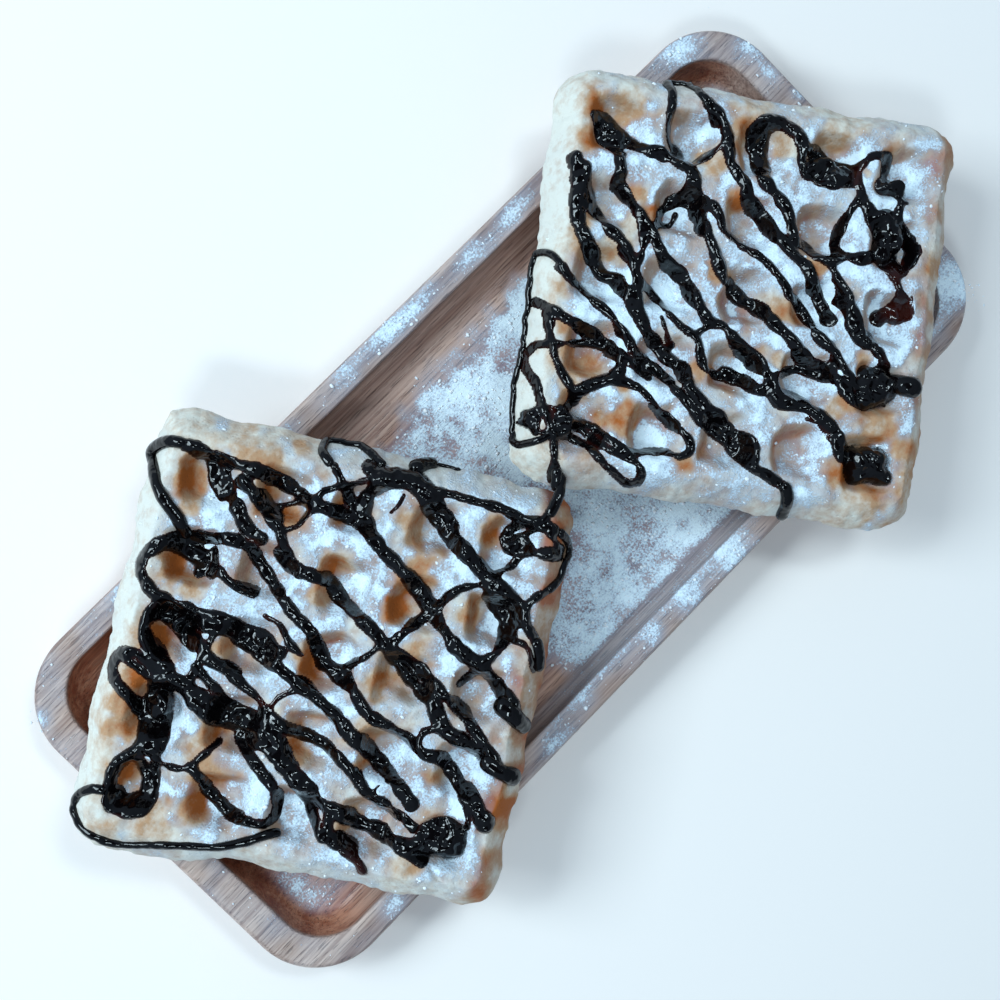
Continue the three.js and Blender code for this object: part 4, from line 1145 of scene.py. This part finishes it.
# One strand hangs over the gap from the right waffle's near corner to the left waffle's far one.
# Its bends are (waffle, place as seen, how far over the ribs).
GAP_STRAND = [(RIGHT, (-48.2, -57), 0), (RIGHT, (-48.5, -60.5), -1), (RIGHT, (-48.8, -63), -2),
              (LEFT, (50.5, 64), -3), (LEFT, (51, 60), -1), (LEFT, (51.3, 56.5), 0),
              (LEFT, (50.5, 53), 0)]
GAP_HALF_WIDTH = 1.5
GAP_STRAND_SUNK = 0.2
bends = []
for waffle, place, drop in GAP_STRAND:
    u, v = onto_crust(np.array([place], float), waffle).T
    bends.append(set_down(u, v, 0 * u + THICKNESS - GAP_STRAND_SUNK + drop, waffle)[0])
hung = smooth_path(bends, EDGE_PATH_STEP)
along = np.arange(len(hung)) * EDGE_PATH_STEP
half = GAP_HALF_WIDTH * (1 + 0.15 * ripple(along, 0 * along, 4, 91))
upward = np.tile([0.0, 0.0, 1.0], (len(hung), 1))
bridge = run_along("sauce_over_gap", [hung], [upward], [half], sauce_finish)
paint(bridge, "thin", np.zeros(len(bridge.data.vertices)))
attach(bridge, "root")

# ---------------------------------------------------------------------------------------------
# Sugar crumbs: icing sugar falls partly as small clumps, a third of a millimetre to one and a half
# across. They lie where the sugar is thick, on the waffles and on the tray.
# ---------------------------------------------------------------------------------------------
CRUMB_LEAST = 0.12
CRUMB_MOST = 0.55
CRUMBS_ON_WAFFLE = 2000
CRUMBS_ON_TRAY = 6000
WAFFLE_DRAWS = 6
TRAY_DRAWS = 9


def crumb_shape():
    """The twelve corners and twenty faces of a regular solid, from the golden section."""
    g = (1 + 5 ** 0.5) / 2
    corners = [(-1, g, 0), (1, g, 0), (-1, -g, 0), (1, -g, 0), (0, -1, g), (0, 1, g), (0, -1, -g),
               (0, 1, -g), (g, 0, -1), (g, 0, 1), (-g, 0, -1), (-g, 0, 1)]
    faces = [(0, 11, 5), (0, 5, 1), (0, 1, 7), (0, 7, 10), (0, 10, 11),
             (1, 5, 9), (5, 11, 4), (11, 10, 2), (10, 7, 6), (7, 1, 8),
             (3, 9, 4), (3, 4, 2), (3, 2, 6), (3, 6, 8), (3, 8, 9),
             (4, 9, 5), (2, 4, 11), (6, 2, 10), (8, 6, 7), (9, 8, 1)]
    return np.array(corners) / np.hypot(1, g), np.array(faces)


def crumbs(name, middles, draw, material):
    """One mesh of uneven lumps at the given places: each is the regular solid with every corner
    drawn in or out by up to a third, stretched its own way, flattened and half sunk."""
    corners, faces = crumb_shape()
    count = len(middles)
    radius = CRUMB_LEAST + (CRUMB_MOST - CRUMB_LEAST) * draw.random(count) ** 4
    uneven = draw.uniform(0.67, 1.33, (count, len(corners), 1))
    flat = np.full((count, 1, 1), 0.6)
    stretch = np.concatenate([draw.uniform(0.65, 1.6, (count, 1, 2)), flat], 2)
    shape = corners[None] * uneven * radius[:, None, None] * stretch
    points = middles[:, None] + shape + np.array([0, 0, 0.25]) * radius[:, None, None]
    numbers = faces[None] + np.arange(count)[:, None, None] * len(corners)
    return mesh_piece(name, points.reshape(-1, 3), numbers.reshape(-1, 3), material)


# Icing sugar: the whitest thing on the tray, quite matte, with painted cool shade in the hollows
# between its grains of about 0.3 mm.
CRUMB_SHADED_HOLLOW = "#dfe8f2"
CRUMB_WHITE = "#fbfdff"
POWDER = 0.3
sugar_finish, tree, out = finish_of("icing_sugar")
powder = add(tree, "TexNoise", {"Vector": place_in(tree), "Scale": 1 / POWDER, "Detail": 2.0})
# Painted shade: the powder's low spots, its hollows, take the cooler colour.
tone = add(tree, "MapRange", {"Value": powder.outputs["Fac"], "From Min": 0.35, "From Max": 0.65})
white_with_shade = add(tree, "Mix", {0: tone.outputs[0], 6: linear(CRUMB_SHADED_HOLLOW), 7: linear(CRUMB_WHITE)},
            data_type="RGBA")
bump = add(tree, "Bump", {"Height": powder.outputs["Fac"], "Strength": 0.5, "Distance": 0.0001})
shader = add(tree, "BsdfPrincipled", {"Base Color": white_with_shade.outputs[2], "Roughness": 0.95,
                                      "Normal": bump.outputs[0]})
tree.links.new(shader.outputs["BSDF"], out.inputs["Surface"])

for waffle in (LEFT, RIGHT):
    draw = np.random.default_rng(waffle["seed"])
    u, v = draw.uniform(-60, 60, (2, CRUMBS_ON_WAFFLE * WAFFLE_DRAWS))
    height = crust_height(u, v, waffle)
    sugar, _ = crust_looks(u, v, height, waffle)
    sauce_line, sauce_held = waffle["sauced"]
    column, row = (np.searchsorted(sauce_line, value) for value in (u, v))
    keep = (draw.random(len(u)) < sugar ** 1.5 * 0.6) & ~sauce_held[column, row]
    u, v, height = (values[keep][:CRUMBS_ON_WAFFLE] for values in (u, v, height))
    middles = set_down(*baked(u, v, waffle), height, waffle)
    piece = crumbs("sugar_crumbs_" + waffle["name"], middles, draw, sugar_finish)
    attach(piece, "root")

draw = np.random.default_rng(300)
x = draw.uniform(-149, 149, CRUMBS_ON_TRAY * TRAY_DRAWS)
y = draw.uniform(-64, 64, CRUMBS_ON_TRAY * TRAY_DRAWS)
from_end = TRAY_LENGTH / 2 - RIM_EXTRA_AT_ENDS - np.abs(x)
inset = np.minimum(from_end, TRAY_WIDTH / 2 - np.abs(y))
cove_share = np.clip((inset - RIM_WIDTH) / COVE_REACH, 0, 1)
z = TRAY_HEIGHT - (TRAY_HEIGHT - TRAY_FLOOR) * np.sqrt(1 - (1 - cove_share) ** 2)
keep = draw.random(len(x)) < tray_sugar(x, y, z) ** 1.5 * 0.5
middles = np.stack([x, y, z], -1)[keep][:CRUMBS_ON_TRAY]
piece = crumbs("sugar_crumbs_tray", middles, draw, sugar_finish)
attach(piece, "root")
